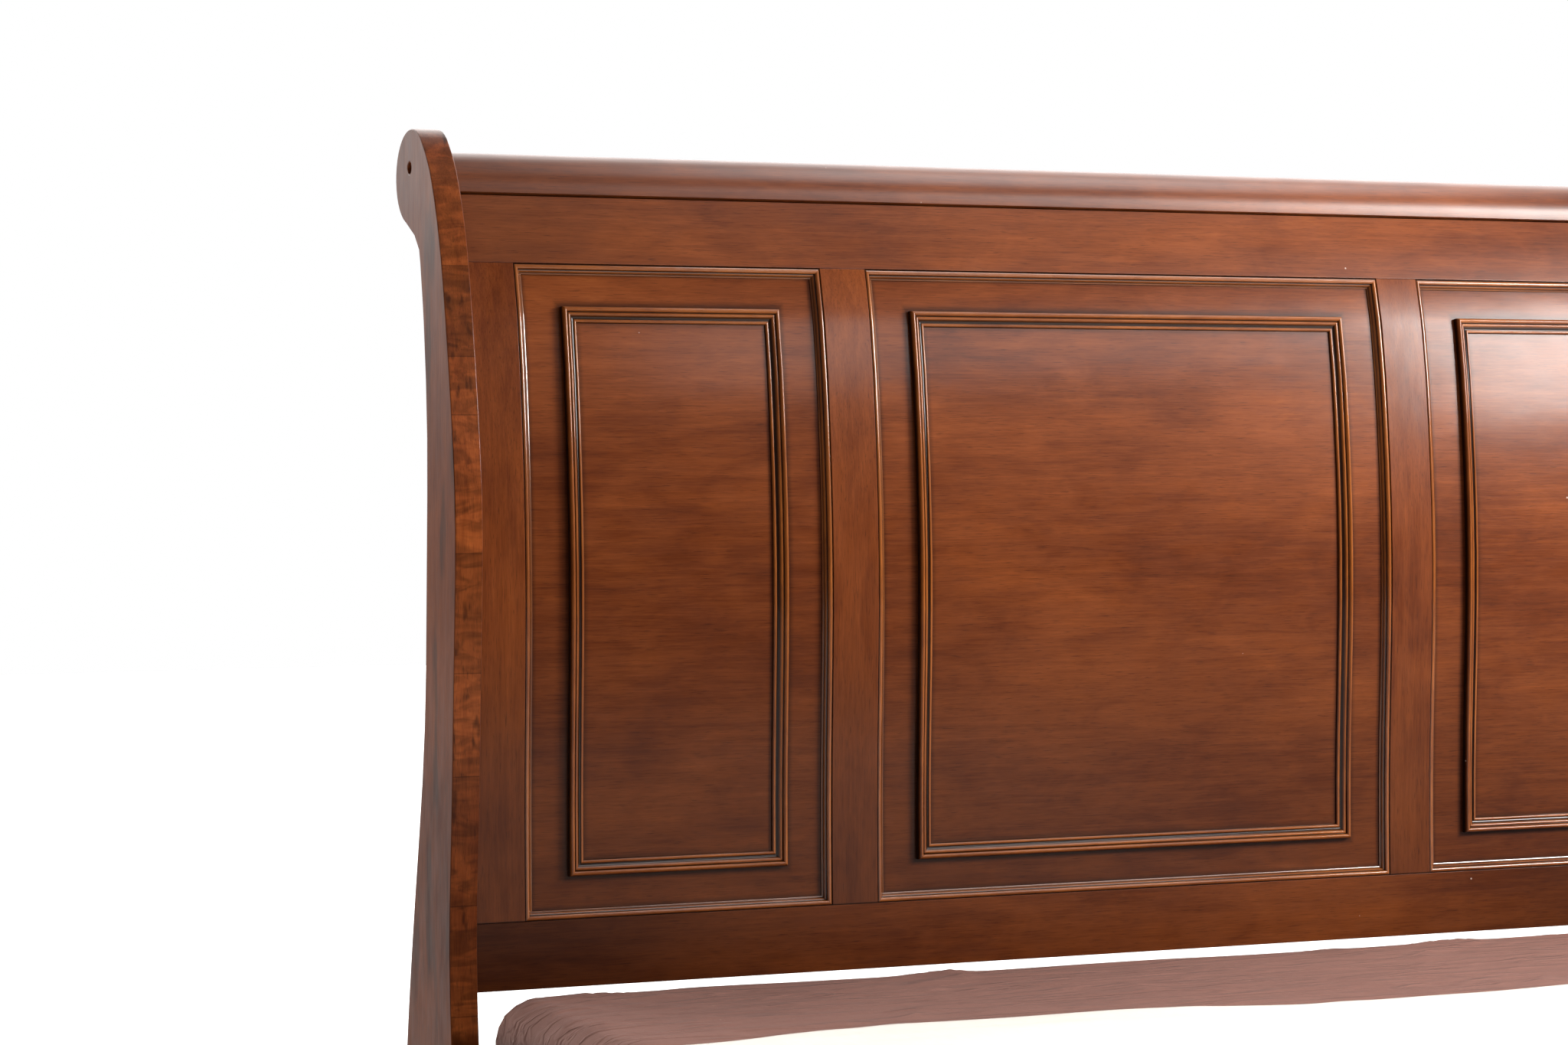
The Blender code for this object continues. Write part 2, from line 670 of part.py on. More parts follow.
def slat_places(mattress_ends):
    """The middle of each slat along the bed."""
    foot_end, head_end = mattress_ends
    inset = SLAT_END_MARGIN + SLAT_SIZE[0] / 2.0
    return np.linspace(foot_end + inset, head_end - inset, SLAT_COUNT)


def slat_half_length():
    """Half the length of a slat."""
    return side_rail_inside() - SLAT_SIDE_ROOM


def add_slats(holder, mattress_ends):
    """The slats, joined by two webbing straps into one roll."""
    bottom = CLEAT_TOP + GAP
    top = bottom + SLAT_SIZE[1]
    places = slat_places(mattress_ends)
    half = slat_half_length()
    slats = bmesh.new()
    for y in places:
        low = (-half, y - SLAT_SIZE[0] / 2.0, bottom)
        box_mesh(low, (half, y + SLAT_SIZE[0] / 2.0, top), slats)
    roll = add_piece("slat_roll", slats, holder, PINE)
    for side, name in SIDES:
        x = side * STRAP_SHARE * CLEAR_WIDTH
        low = (x - STRAP_SIZE[0] / 2.0, places[0] - SLAT_SIZE[0] / 3.0, top - STRAP_SINK)
        high = (x + STRAP_SIZE[0] / 2.0, places[-1] + SLAT_SIZE[0] / 3.0, top + STRAP_SIZE[1] - STRAP_SINK)
        boolean(roll, f"slat_strap_{name}", "UNION", box_mesh(low, high))


def add_cross_beam(holder, middle_y):
    """The deep beam across the middle, notched over the cleats, between two slats."""
    bottom = CLEAT_TOP + GAP
    top = bottom + SLAT_SIZE[1] - STRAP_SINK - GAP
    half = slat_half_length()
    notch = side_rail_inside() - CLEAT_SIZE[0] - BEAM_PLAY
    low = top - BEAM_SIZE[1]
    outline = [(-half, bottom), (-notch, bottom), (-notch, low), (notch, low)]
    outline += [(notch, bottom), (half, bottom), (half, top), (-half, top)]
    ends = (middle_y - BEAM_SIZE[0] / 2.0, middle_y + BEAM_SIZE[0] / 2.0)
    rings = [[(x, y, z) for x, z in outline] for y in ends]
    add_piece("cross_beam", loft(rings), holder, PINE)
    return low


def add_centre_leg(holder, middle_y, beam_bottom):
    """The leg under the cross beam, drilled from below for the levelling stud."""
    half = CENTRE_LEG / 2.0
    leg = add_piece(
        "centre_leg",
        box_mesh((-half, middle_y - half, LEG_CLEARANCE), (half, middle_y + half, beam_bottom - GAP)),
        holder,
        PINE,
    )
    rings = []
    for z in (LEG_CLEARANCE - CUT_PAST, LEG_CLEARANCE + STUD_ENGAGED + STUD_END_ROOM):
        rings.append([(a, middle_y + b, z) for a, b in circle(STUD_RADIUS + STUD_PLAY, 16)])
    boolean(leg, "stud_hole", "DIFFERENCE", loft(rings))


def add_levelling_foot(holder, middle_y):
    """The pad that stands on the floor and the stud that screws it out of the leg."""
    socket_radius, socket_depth = PAD_SOCKET
    floor = PAD_HEIGHT - socket_depth
    stations = (
        (PAD_RADIUS, 0.0),
        (PAD_RADIUS, PAD_HEIGHT - PAD_CHAMFER),
        (PAD_RADIUS - PAD_CHAMFER, PAD_HEIGHT),
        (socket_radius, PAD_HEIGHT),
        (socket_radius, floor),
    )
    rings = [[(a, middle_y + b, z) for a, b in circle(radius, 24)] for radius, z in stations]
    add_piece("levelling_pad", loft(rings), holder, PLASTIC, (0.0, middle_y, 0.0))
    corner, nut_bottom, nut_top = STUD_NUT
    flat = corner * math.cos(math.pi / 6.0)
    stations = (
        (STUD_RADIUS, STUD_RADIUS, floor + GAP),
        (STUD_RADIUS, STUD_RADIUS, nut_bottom),
        (corner, flat, nut_bottom),
        (corner, flat, nut_top),
        (STUD_RADIUS, STUD_RADIUS, nut_top),
        (STUD_RADIUS, STUD_RADIUS, LEG_CLEARANCE + STUD_ENGAGED),
    )
    rings = []
    for even, odd, z in stations:
        ring = []
        for i, (a, b) in enumerate(circle(1.0, 12)):
            radius = odd if i % 2 else even
            ring.append((a * radius, middle_y + b * radius, z))
        rings.append(ring)
    add_piece("levelling_stud", loft(rings), holder, STEEL, (0.0, middle_y, 0.0))


# Mattress and bedding


def bed_loop(ends, inset, z):
    """A rounded rectangle round the mattress's outline, moved inwards by the inset."""
    half_x = side_rail_inside() - MATTRESS_SIDE_ROOM - inset
    low_y, high_y = ends[0] + inset, ends[1] - inset
    radius = max(MATTRESS_CORNER - inset, LEAST_CORNER)
    corners = ((half_x, high_y, 0.0), (-half_x, high_y, 90.0), (-half_x, low_y, 180.0), (half_x, low_y, 270.0))
    loop = []
    for x, y, start in corners:
        centre_x = x - math.copysign(radius, x)
        centre_y = y - radius if y == high_y else y + radius
        for i in range(CORNER_STEPS + 1):
            turn = math.radians(start + 90.0 * i / CORNER_STEPS)
            loop.append((centre_x + radius * math.cos(turn), centre_y + radius * math.sin(turn), z))
    return loop


def bed_loops(ends, grow, low, top):
    """Loops up the mattress's side and over its rounded top edge, standing off it by grow."""
    loops = [bed_loop(ends, -grow, low)]
    radius = MATTRESS_EDGE + grow
    for i in range(EDGE_STEPS + 1):
        turn = math.radians(90.0 * i / EDGE_STEPS)
        inset = radius * (1.0 - math.cos(turn)) - grow
        loops.append(bed_loop(ends, inset, top + grow - radius * (1.0 - math.sin(turn))))
    return loops


def add_mattress(holder, ends, bottom, origin):
    """The mattress: upright sides, rounded corners and a rounded top edge."""
    loops = bed_loops(ends, 0.0, bottom, bottom + MATTRESS_THICK)
    add_piece("mattress", loft(loops), holder, TICKING, origin, sharp=50.0)


def add_skin(name, holder, ends, low, top, clear, thick, look, origin):
    """A cloth skin over the mattress, open underneath."""
    outside = bed_loops(ends, clear + thick, low, top)
    inside = bed_loops(ends, clear, low, top)
    loops = outside[::-1] + inside
    return add_piece(name, loft(loops), holder, look, origin, sharp=50.0)


def add_bedding(ends):
    """Mattress, fitted sheet and coverlet, which lift off together."""
    holder = group("bedding")
    bottom = CLEAT_TOP + SLAT_SIZE[1] + STRAP_SIZE[1] + 2.0 * GAP
    top = bottom + MATTRESS_THICK
    origin = (0.0, sum(ends) / 2.0, bottom)
    add_mattress(holder, ends, bottom, origin)
    add_skin("fitted_sheet", holder, ends, bottom + SHEET_HEM, top, GAP, SHEET_THICK, BROWN_SHEET, origin)
    clear = SHEET_THICK + 2.0 * GAP
    cover = add_skin(
        "coverlet", holder, ends, top - COVER_DROP, top, clear, COVER_THICK, CREAM_COVER, origin
    )
    low = (-CLEAR_WIDTH, ends[1] - COVER_EDGE, bottom)
    cutter = box_mesh(low, (CLEAR_WIDTH, ends[1] + MATTRESS_THICK, top + MATTRESS_THICK))
    boolean(cover, "coverlet_head_cut", "DIFFERENCE", cutter)


SIDES = ((-1, "left"), (1, "right"))


def main():
    for old in list(bpy.data.objects):
        bpy.data.objects.remove(old)
    foot_reach = SCROLL_CENTRE[1] + SCROLL_RADIUS
    head_reach = POST_OUTER[-1][1]
    head_y = (BOARD_SPACING + foot_reach - head_reach) / 2.0
    head = Board("headboard", head_y, 1, HEAD_TOP, HEAD_BOTTOM_EDGE, HEAD_LEG_REACH, False)
    foot = Board("footboard", head_y - BOARD_SPACING, -1, FOOT_TOP, FOOT_BOTTOM_EDGE, FOOT_LEG_REACH, True)
    for board in (head, foot):
        add_board_frame(board)
        add_roll(board)
        for side, name in SIDES:
            add_post(board, side, name)
            add_bolt(board, side, name)
            add_strike_plate(board, side, name)
            add_hook_plate(board, side, name)
    add_side_rails((head, foot))
    ends = (foot.y(MATTRESS_FOOT_REACH), head.y(MATTRESS_HEAD_REACH))
    base = group("slat_base")
    add_slats(base, ends)
    middle_y = float(sum(slat_places(ends)) / SLAT_COUNT)
    beam_bottom = add_cross_beam(base, middle_y)
    add_centre_leg(base, middle_y, beam_bottom)
    add_levelling_foot(base, middle_y)
    add_bedding(ends)


main()
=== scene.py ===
"""The looks of the sleigh bed: lacquered cherry boards with mitred trims, slats, and a made-up mattress.

Metres, +Z up, +Y to the head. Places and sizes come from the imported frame.
"""

import math

import bmesh
import bpy
import numpy as np
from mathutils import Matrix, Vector, noise
from mathutils.bvhtree import BVHTree


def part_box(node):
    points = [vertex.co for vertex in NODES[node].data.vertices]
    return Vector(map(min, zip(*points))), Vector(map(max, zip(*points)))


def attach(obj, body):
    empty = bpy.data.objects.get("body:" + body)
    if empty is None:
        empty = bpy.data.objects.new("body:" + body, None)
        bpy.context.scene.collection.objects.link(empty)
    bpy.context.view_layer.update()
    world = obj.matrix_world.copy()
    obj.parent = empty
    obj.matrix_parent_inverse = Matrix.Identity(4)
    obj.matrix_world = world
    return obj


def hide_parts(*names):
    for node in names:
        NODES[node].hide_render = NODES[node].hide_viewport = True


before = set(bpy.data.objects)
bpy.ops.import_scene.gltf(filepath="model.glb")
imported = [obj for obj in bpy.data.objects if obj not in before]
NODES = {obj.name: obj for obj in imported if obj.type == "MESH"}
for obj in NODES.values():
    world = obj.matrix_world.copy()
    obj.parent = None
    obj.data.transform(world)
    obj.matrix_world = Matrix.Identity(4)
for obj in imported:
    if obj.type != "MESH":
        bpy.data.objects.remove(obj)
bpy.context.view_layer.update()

MM = 0.001
BOARDS = ("headboard", "footboard")
PANELS = ("left", "centre", "right")

# Camera
CAMERA_BACK = 3.6711  # in front of the headboard's face, along the bed
CAMERA_X = -2.0248
CAMERA_Z = 1.0702
CAMERA_TURN = (88.619, 0.0, -23.507)  # degrees
CAMERA_LENS = 87.89  # mm
CAMERA_SENSOR = 36.0  # mm

# Lights as (name, place, target, size, watts, colour)
LIGHTS = (
    ("softbox", (1.90, -0.50, 1.78), (0.25, 1.0, 0.95), (0.75, 0.65), 86.0, (1.0, 0.97, 0.94)),
    ("overhead", (0.9, 0.75, 3.1), (0.35, 0.75, 0.5), (1.5, 1.3), 36.0, (1.0, 1.0, 1.0)),
    ("strip", (1.37, -0.9, 1.98), (0.1, 1.0, 1.30), (2.1, 0.45), 21.0, (1.0, 1.0, 1.0)),
)
# The world's strength as a product of bands: (axis, from, to, strength at from, strength at to)
WORLD_BANDS = ((1, 0.0, 0.6, 0.04, 1.0), (2, -0.05, 0.22, 0.20, 3.0))
FLOOR_HALF = 14.0
FLOOR_GLOW = 0.66  # seen only by the camera, so the floor is as white as the photograph's ground


def new_object(name, data):
    made = bpy.data.objects.new(name, data)
    bpy.context.scene.collection.objects.link(made)
    return made


# Node trees


class Graph:
    """A material's node tree, with short calls for the nodes that the finishes use."""

    def __init__(self, name):
        self.material = bpy.data.materials.new(name)
        self.material.use_nodes = True
        self.tree = self.material.node_tree
        self.shader = self.tree.nodes["Principled BSDF"]

    def node(self, kind, **settings):
        made = self.tree.nodes.new(kind)
        for key, value in settings.items():
            setattr(made, key, value)
        return made

    def link(self, source, target):
        """Joins a socket to an input, or sets the input to a plain value."""
        if isinstance(source, bpy.types.NodeSocket):
            self.tree.links.new(source, target)
        elif isinstance(source, (tuple, list)) and target.type == "RGBA":
            target.default_value = (*source[:3], 1.0)
        else:
            target.default_value = source

    def set(self, name, value):
        self.link(value, self.shader.inputs[name])

    def math(self, operation, a, b=0.0):
        made = self.node("ShaderNodeMath", operation=operation)
        self.link(a, made.inputs[0])
        self.link(b, made.inputs[1])
        return made.outputs[0]

    def split_place(self, output):
        """One output of the coordinates node, as separate numbers."""
        coordinates = self.node("ShaderNodeTexCoord")
        split = self.node("ShaderNodeSeparateXYZ")
        self.link(coordinates.outputs[output], split.inputs[0])
        return list(split.outputs)

    def object_place(self):
        """The point in the bed's own axes, as separate numbers."""
        return self.split_place("Object")

    def facing(self):
        """The surface's normal in the bed's own axes, as separate numbers."""
        return self.split_place("Normal")

    def combine(self, x, y, z):
        made = self.node("ShaderNodeCombineXYZ")
        for value, target in zip((x, y, z), made.inputs):
            self.link(value, target)
        return made.outputs[0]

    def scaled(self, vector, scale, shift=(0.0, 0.0, 0.0)):
        made = self.node("ShaderNodeMapping")
        self.link(vector, made.inputs["Vector"])
        made.inputs["Scale"].default_value = scale
        made.inputs["Location"].default_value = shift
        return made.outputs[0]

    def noise(self, vector, scale, detail=2.0, roughness=0.5, distortion=0.0):
        made = self.node("ShaderNodeTexNoise")
        self.link(vector, made.inputs["Vector"])
        made.inputs["Scale"].default_value = scale
        made.inputs["Detail"].default_value = detail
        made.inputs["Roughness"].default_value = roughness
        made.inputs["Distortion"].default_value = distortion
        return made.outputs["Fac"]

    def ramp(self, value, stops):
        """Value turned into a colour, by stops of (position, colour)."""
        made = self.node("ShaderNodeValToRGB")
        self.link(value, made.inputs[0])
        elements = made.color_ramp.elements
        while len(elements) < len(stops):
            elements.new(0.5)
        for element, (position, colour) in zip(elements, stops):
            element.position = position
            element.color = (*colour, 1.0)
        return made.outputs["Color"]

    def band(self, value, low, high, out_low=0.0, out_high=1.0):
        """Value remapped smoothly from low..high."""
        made = self.node("ShaderNodeMapRange", interpolation_type="SMOOTHSTEP")
        self.link(value, made.inputs["Value"])
        ends = {"From Min": low, "From Max": high, "To Min": out_low, "To Max": out_high}
        for name, number in ends.items():
            self.link(number, made.inputs[name])
        return made.outputs[0]

    def mix(self, factor, a, b, blend="MIX"):
        made = self.node("ShaderNodeMix", data_type="RGBA", blend_type=blend)
        self.link(factor, made.inputs[0])
        self.link(a, made.inputs[6])
        self.link(b, made.inputs[7])
        return made.outputs[2]

    def bump(self, height, distance, strength=1.0, normal=None):
        made = self.node("ShaderNodeBump")
        self.link(height, made.inputs["Height"])
        made.inputs["Distance"].default_value = distance
        made.inputs["Strength"].default_value = strength
        if normal is not None:
            self.link(normal, made.inputs["Normal"])
        return made.outputs[0]


# Wood


CHERRY_STOPS = (
    (0.24, (0.040, 0.0078, 0.0020)),
    (0.43, (0.112, 0.0240, 0.0050)),
    (0.60, (0.202, 0.0500, 0.0105)),
    (0.80, (0.330, 0.0980, 0.0230)),
)


def grain_place(g, along):
    """Coordinates whose third number runs along the grain, which is the X, Y or Z axis."""
    x, y, z = g.object_place()
    return {"X": g.combine(y, z, x), "Y": g.combine(x, z, y), "Z": g.combine(x, y, z)}[along]


def grain_value(g, place):
    """A number from 0, dark, to 1, light: clouds, blotches, streaks and fibres. Also the fibres alone."""
    clouds = g.noise(g.scaled(place, (6.0, 6.0, 3.0)), 1.0, 3.0, 0.55, 0.4)
    blotches = g.noise(g.scaled(place, (26.0, 26.0, 12.0)), 1.0, 3.0, 0.6, 0.8)
    streaks = g.noise(g.scaled(place, (95.0, 95.0, 5.0)), 1.0, 3.0, 0.6, 0.6)
    fibres = g.noise(g.scaled(place, (520.0, 520.0, 26.0)), 1.0, 2.0, 0.6)
    value = g.math("ADD", g.math("MULTIPLY", clouds, 0.40), g.math("MULTIPLY", blotches, 0.22))
    value = g.math("ADD", value, g.math("MULTIPLY", streaks, 0.20))
    return g.math("ADD", value, g.math("MULTIPLY", fibres, 0.18)), fibres


PORE_COLOUR = (0.022, 0.006, 0.003)
DUST_COLOUR = (0.52, 0.42, 0.36)
DUST_SCALE = 21.0  # one possible speck in each cell of about 1/21 m
DUST_RARE = 0.72  # the share of cells with no speck
CHERRY_COAT = 0.22
CHERRY_COAT_ROUGH = 0.17


def cherry(name, along="Z", tone=1.0, place=None, shade=None, bump=1.0,
           coat=CHERRY_COAT, coat_rough=CHERRY_COAT_ROUGH):
    """Stained and lacquered cherry.

    Tone multiplies the stain, and shade is a further factor over the surface. Coat is the lacquer's weight,
    as a number or as a function of the graph.
    """
    g = Graph(name)
    place = place(g) if place else grain_place(g, along)
    value, fibres = grain_value(g, place)
    colour = g.ramp(value, CHERRY_STOPS)
    pores = g.noise(g.scaled(place, (1500.0, 1500.0, 60.0)), 1.0, 1.0, 0.5)
    pore = g.band(pores, 0.60, 0.72)
    colour = g.mix(g.math("MULTIPLY", pore, 0.45), colour, PORE_COLOUR)
    if shade is not None:
        colour = g.mix(1.0, colour, shade(g), "MULTIPLY")
    if tone != 1.0:
        colour = g.mix(1.0, colour, (tone, tone, tone), "MULTIPLY")
    specks = g.node("ShaderNodeTexVoronoi", feature="F1")
    g.link(g.combine(*g.object_place()), specks.inputs["Vector"])
    specks.inputs["Scale"].default_value = DUST_SCALE
    chance = g.node("ShaderNodeSeparateColor")
    g.link(specks.outputs["Color"], chance.inputs[0])
    speck = g.math("MULTIPLY", g.band(specks.outputs["Distance"], 0.014, 0.026, 0.75, 0.0),
                   g.math("GREATER_THAN", chance.outputs[0], DUST_RARE))
    colour = g.mix(speck, colour, DUST_COLOUR)
    g.set("Base Color", colour)
    rough = g.noise(g.scaled(place, (60.0, 60.0, 20.0)), 1.0, 2.0)
    g.set("Roughness", g.band(rough, 0.25, 0.75, 0.34, 0.46))
    g.set("Specular IOR Level", 0.06)
    g.set("Coat Weight", coat(g) if callable(coat) else coat)
    g.set("Coat Roughness", coat_rough)
    g.set("Coat IOR", 1.50)
    lacquer = g.noise(g.scaled(place, (38.0, 38.0, 26.0)), 1.0, 2.0)
    waves = g.bump(lacquer, 0.6 * MM, 0.22 * bump)
    g.set("Coat Normal", waves)
    g.set("Normal", g.bump(fibres, 0.25 * MM, 0.35 * bump, waves))
    return g.material


def end_shade(amount, start, end):
    """Painted shade that darkens towards the ends of a piece that runs across the bed."""

    def shade(g):
        x, _, _ = g.object_place()
        away = g.math("ABSOLUTE", x)
        factor = g.band(away, start, end, 1.0, 1.0 - amount)
        return g.combine(factor, factor, factor)

    return shade


LOW_SHADE = (0.06, 0.50, 0.58)  # painted shade: heights over the bottom rail's middle, and the factor at the lower one
JOINT_SHADE = 2.6 * MM  # how far dark glaze spreads from the rail over an upright's end


def low_factor(g, board, z):
    """Painted shade that darkens towards the bottom of a board's panels and uprights."""
    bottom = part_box(f"{board}_bottom_rail")
    middle = (bottom[0].z + bottom[1].z) / 2.0
    return g.band(z, middle + LOW_SHADE[0], middle + LOW_SHADE[1], LOW_SHADE[2], 1.0)


def low_shade(board):
    """The shade painted on a board's uprights, darker towards the bottom, with dark glaze in their joints to
    the bottom rail.
    """
    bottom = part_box(f"{board}_bottom_rail")[1].z

    def shade(g):
        _, _, z = g.object_place()
        factor = low_factor(g, board, z)
        factor = g.math("MULTIPLY", factor, g.band(z, bottom, bottom + JOINT_SHADE, 0.12, 1.0))
        return g.combine(factor, factor, factor)

    return shade


# Bands up a post: two heights, and the value at each
POST_SIDE_SHADE = (0.50, 1.20, 0.68, 1.0)  # painted shade on its sides, darker towards the floor
POST_COAT = (0.55, 1.35, 0.06, 0.40)  # its lacquer
POST_BLOCK = 0.105
POST_SEED = 7.0


def block_shade(spacing, seed):
    """A post's stain: glued-up blocks with thin dark joints on its edges, and long smears on its sides, with
    painted shade that darkens the sides towards the floor.
    """

    def shade(g):
        x, y, z = g.object_place()
        shift = g.math("MULTIPLY", g.math("SIGN", x), seed)
        height = g.math("ADD", g.math("DIVIDE", z, spacing), shift)
        cell = g.node("ShaderNodeTexVoronoi", voronoi_dimensions="1D", feature="F1")
        g.link(height, cell.inputs["W"])
        cell.inputs["Scale"].default_value = 1.0
        edge = g.node("ShaderNodeTexVoronoi", voronoi_dimensions="1D", feature="DISTANCE_TO_EDGE")
        g.link(height, edge.inputs["W"])
        edge.inputs["Scale"].default_value = 1.0
        split = g.node("ShaderNodeSeparateColor")
        g.link(cell.outputs["Color"], split.inputs[0])
        tone = g.band(split.outputs[0], 0.0, 1.0, 0.80, 1.28)
        line = g.band(edge.outputs["Distance"], 0.0, 0.010, 0.55, 1.0)
        place = g.combine(x, y, z)
        patch = g.noise(g.scaled(place, (75.0, 22.0, 26.0)), 1.0, 2.0, 0.6)
        patch = g.band(patch, 0.56, 0.70, 1.0, 0.40)
        flame = g.noise(g.scaled(place, (22.0, 9.0, 62.0)), 1.0, 2.0, 0.6, 1.0)
        flame = g.band(flame, 0.35, 0.65, 0.70, 1.32)
        front = g.math("MULTIPLY", g.math("MULTIPLY", tone, line), g.math("MULTIPLY", patch, flame))
        smear = g.noise(g.scaled(place, (9.0, 34.0, 7.0), (0.4, 0.1, 0.8)), 1.0, 2.0)
        smear = g.band(smear, 0.52, 0.68, 0.95, 0.48)
        # Painted shade: the sides darken towards the floor.
        smear = g.math("MULTIPLY", smear, g.band(z, *POST_SIDE_SHADE))
        beside = g.band(g.math("ABSOLUTE", g.facing()[0]), 0.3, 0.7)
        factor = g.math("ADD", g.math("MULTIPLY", beside, smear),
                        g.math("MULTIPLY", g.math("SUBTRACT", 1.0, beside), front))
        return g.combine(factor, factor, factor)

    return shade


def post_coat(g):
    """The weight of a post's lacquer, weaker near the floor, which matches the photograph's reflections."""
    _, _, z = g.object_place()
    return g.band(z, *POST_COAT)


def rectangle_distance(g, across, height, half_width, middle, half_height):
    """Signed distance to a rectangle centred on across = 0: negative inside."""
    side = g.math("SUBTRACT", g.math("ABSOLUTE", across), half_width)
    rise = g.math("SUBTRACT", g.math("ABSOLUTE", g.math("SUBTRACT", height, middle)), half_height)
    return g.math("MAXIMUM", side, rise)


def panel_shade(board, which):
    """Dark glaze and painted shade round the moulding and along the bead, on a panel's decorated side, which
    faces -Y; painted shade towards the bottom.
    """
    low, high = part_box(f"{board}_moulding_{which}")
    bead_low, bead_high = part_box(f"{board}_bead_{which}")
    centre = abs(low.x + high.x) / 2.0

    def shade(g):
        x, _, z = g.object_place()
        across = g.math("SUBTRACT", g.math("ABSOLUTE", x), centre) if centre > 0.01 else x
        half_z = (high.z - low.z) / 2.0
        trim = rectangle_distance(g, across, z, (high.x - low.x) / 2.0, (high.z + low.z) / 2.0, half_z)
        edge = rectangle_distance(g, across, z, (bead_high.x - bead_low.x) / 2.0,
                                  (bead_high.z + bead_low.z) / 2.0, (bead_high.z - bead_low.z) / 2.0)
        # Dark glaze and painted shade next to the moulding and the bead.
        outside = g.band(trim, 0.0, 9.0 * MM, 0.34, 1.0)
        inside = g.band(trim, -23.0 * MM, -16.0 * MM, 1.0, 0.60)
        is_out = g.math("GREATER_THAN", trim, -8.0 * MM)
        factor = g.math("ADD", g.math("MULTIPLY", is_out, outside),
                        g.math("MULTIPLY", g.math("SUBTRACT", 1.0, is_out), inside))
        factor = g.math("MULTIPLY", factor, g.band(edge, -15.0 * MM, -9.5 * MM, 1.0, 0.55))
        back = g.band(g.facing()[1], -0.2, 0.2)
        factor = g.math("MAXIMUM", factor, back)
        # Painted shade towards the bottom.
        factor = g.math("MULTIPLY", factor, low_factor(g, board, z))
        return g.combine(factor, factor, factor)

    return shade


TRIM_SLICE = 0.37  # where the grain's pattern is cut for the trims


def trim_place(g):
    """Grain that runs along each stick, from its own unwrapped length and breadth."""
    along, breadth, _ = g.split_place("UV")
    return g.combine(breadth, TRIM_SLICE, along)


def trim_shade(g):
    """Dark glaze and painted shade in the hollows; the crests painted lighter, as glaze rubbed through and
    as a painted highlight.
    """
    hollow = g.node("ShaderNodeAttribute", attribute_name="hollow").outputs["Fac"]
    factor = g.band(hollow, 0.0, 0.9, 1.55, 0.12)
    return g.combine(factor, g.math("MULTIPLY", factor, 1.22), g.math("MULTIPLY", factor, 1.1))


# Trims


class Face:
    """The front surface of a board's panels: a folded line in height and depth."""

    def __init__(self, board):
        points = np.array([vert.co for vert in NODES[f"{board}_bead_left"].data.vertices])
        foot = np.unique(np.round(points[:, 0], 5))[2]
        line = points[abs(points[:, 0] - foot) < 0.02 * MM][:, 1:]
        line = np.unique(np.round(line, 5), axis=0)
        line = line[np.argsort(line[:, 1])]
        self.depth, self.height = line[:, 0], line[:, 1]
        self.slope = np.gradient(self.depth, self.height)

    def point(self, x, z, rise):
        """A point at that height on the surface, raised square to it."""
        slope = float(np.interp(z, self.height, self.slope))
        y = float(np.interp(z, self.height, self.depth))
        y += slope * (min(z - self.height[0], 0.0) + max(z - self.height[-1], 0.0))
        square = math.hypot(1.0, slope)
        return Vector((x, y - rise / square, z + rise * slope / square))


TRIM_SHARP = 48.0  # degrees: sharper edges stay hard

# Trim sections as (inwards mm, rise above the panel mm, how hollow, which sets the glaze, painted shade and
# painted highlight)
BEAD_SECTION = (
    (0.3, -0.2, 1.0), (0.3, 7.4, 1.0), (0.7, 6.9, 1.0), (1.1, 7.3, 0.5), (1.7, 7.75, 0.15), (2.7, 7.95, 0.0),
    (3.8, 7.75, 0.0), (4.7, 7.1, 0.1), (5.3, 6.1, 0.3), (5.6, 5.0, 0.9), (5.9, 4.6, 1.0), (6.4, 4.4, 0.5),
    (7.0, 3.9, 0.2), (7.6, 2.9, 0.3), (8.1, 1.8, 0.6), (8.6, 1.2, 0.6), (9.3, 1.0, 0.3), (9.8, 0.8, 0.5),
    (10.0, -0.2, 1.0),
)
MOULDING_SECTION = (
    (0.0, -0.2, 1.0), (0.0, 2.6, 1.0), (0.3, 5.0, 0.6), (0.8, 6.6, 0.3), (1.6, 7.7, 0.1), (2.6, 8.1, 0.0),
    (3.7, 7.9, 0.0), (4.6, 7.1, 0.1), (5.2, 5.9, 0.4), (5.5, 4.9, 1.0), (5.9, 4.7, 1.0), (6.3, 5.1, 0.4),
    (7.1, 5.35, 0.0), (8.1, 5.1, 0.0), (8.9, 4.4, 0.3), (9.8, 3.1, 0.7), (10.8, 2.2, 0.9), (11.8, 1.8, 0.9),
    (12.5, 1.8, 1.0), (12.8, 2.5, 0.6), (13.5, 2.9, 0.1), (14.7, 2.8, 0.0), (15.6, 2.1, 0.3),
    (16.2, 1.1, 0.7), (16.5, -0.2, 1.0),
)
MITRE_GAP = 0.05 * MM


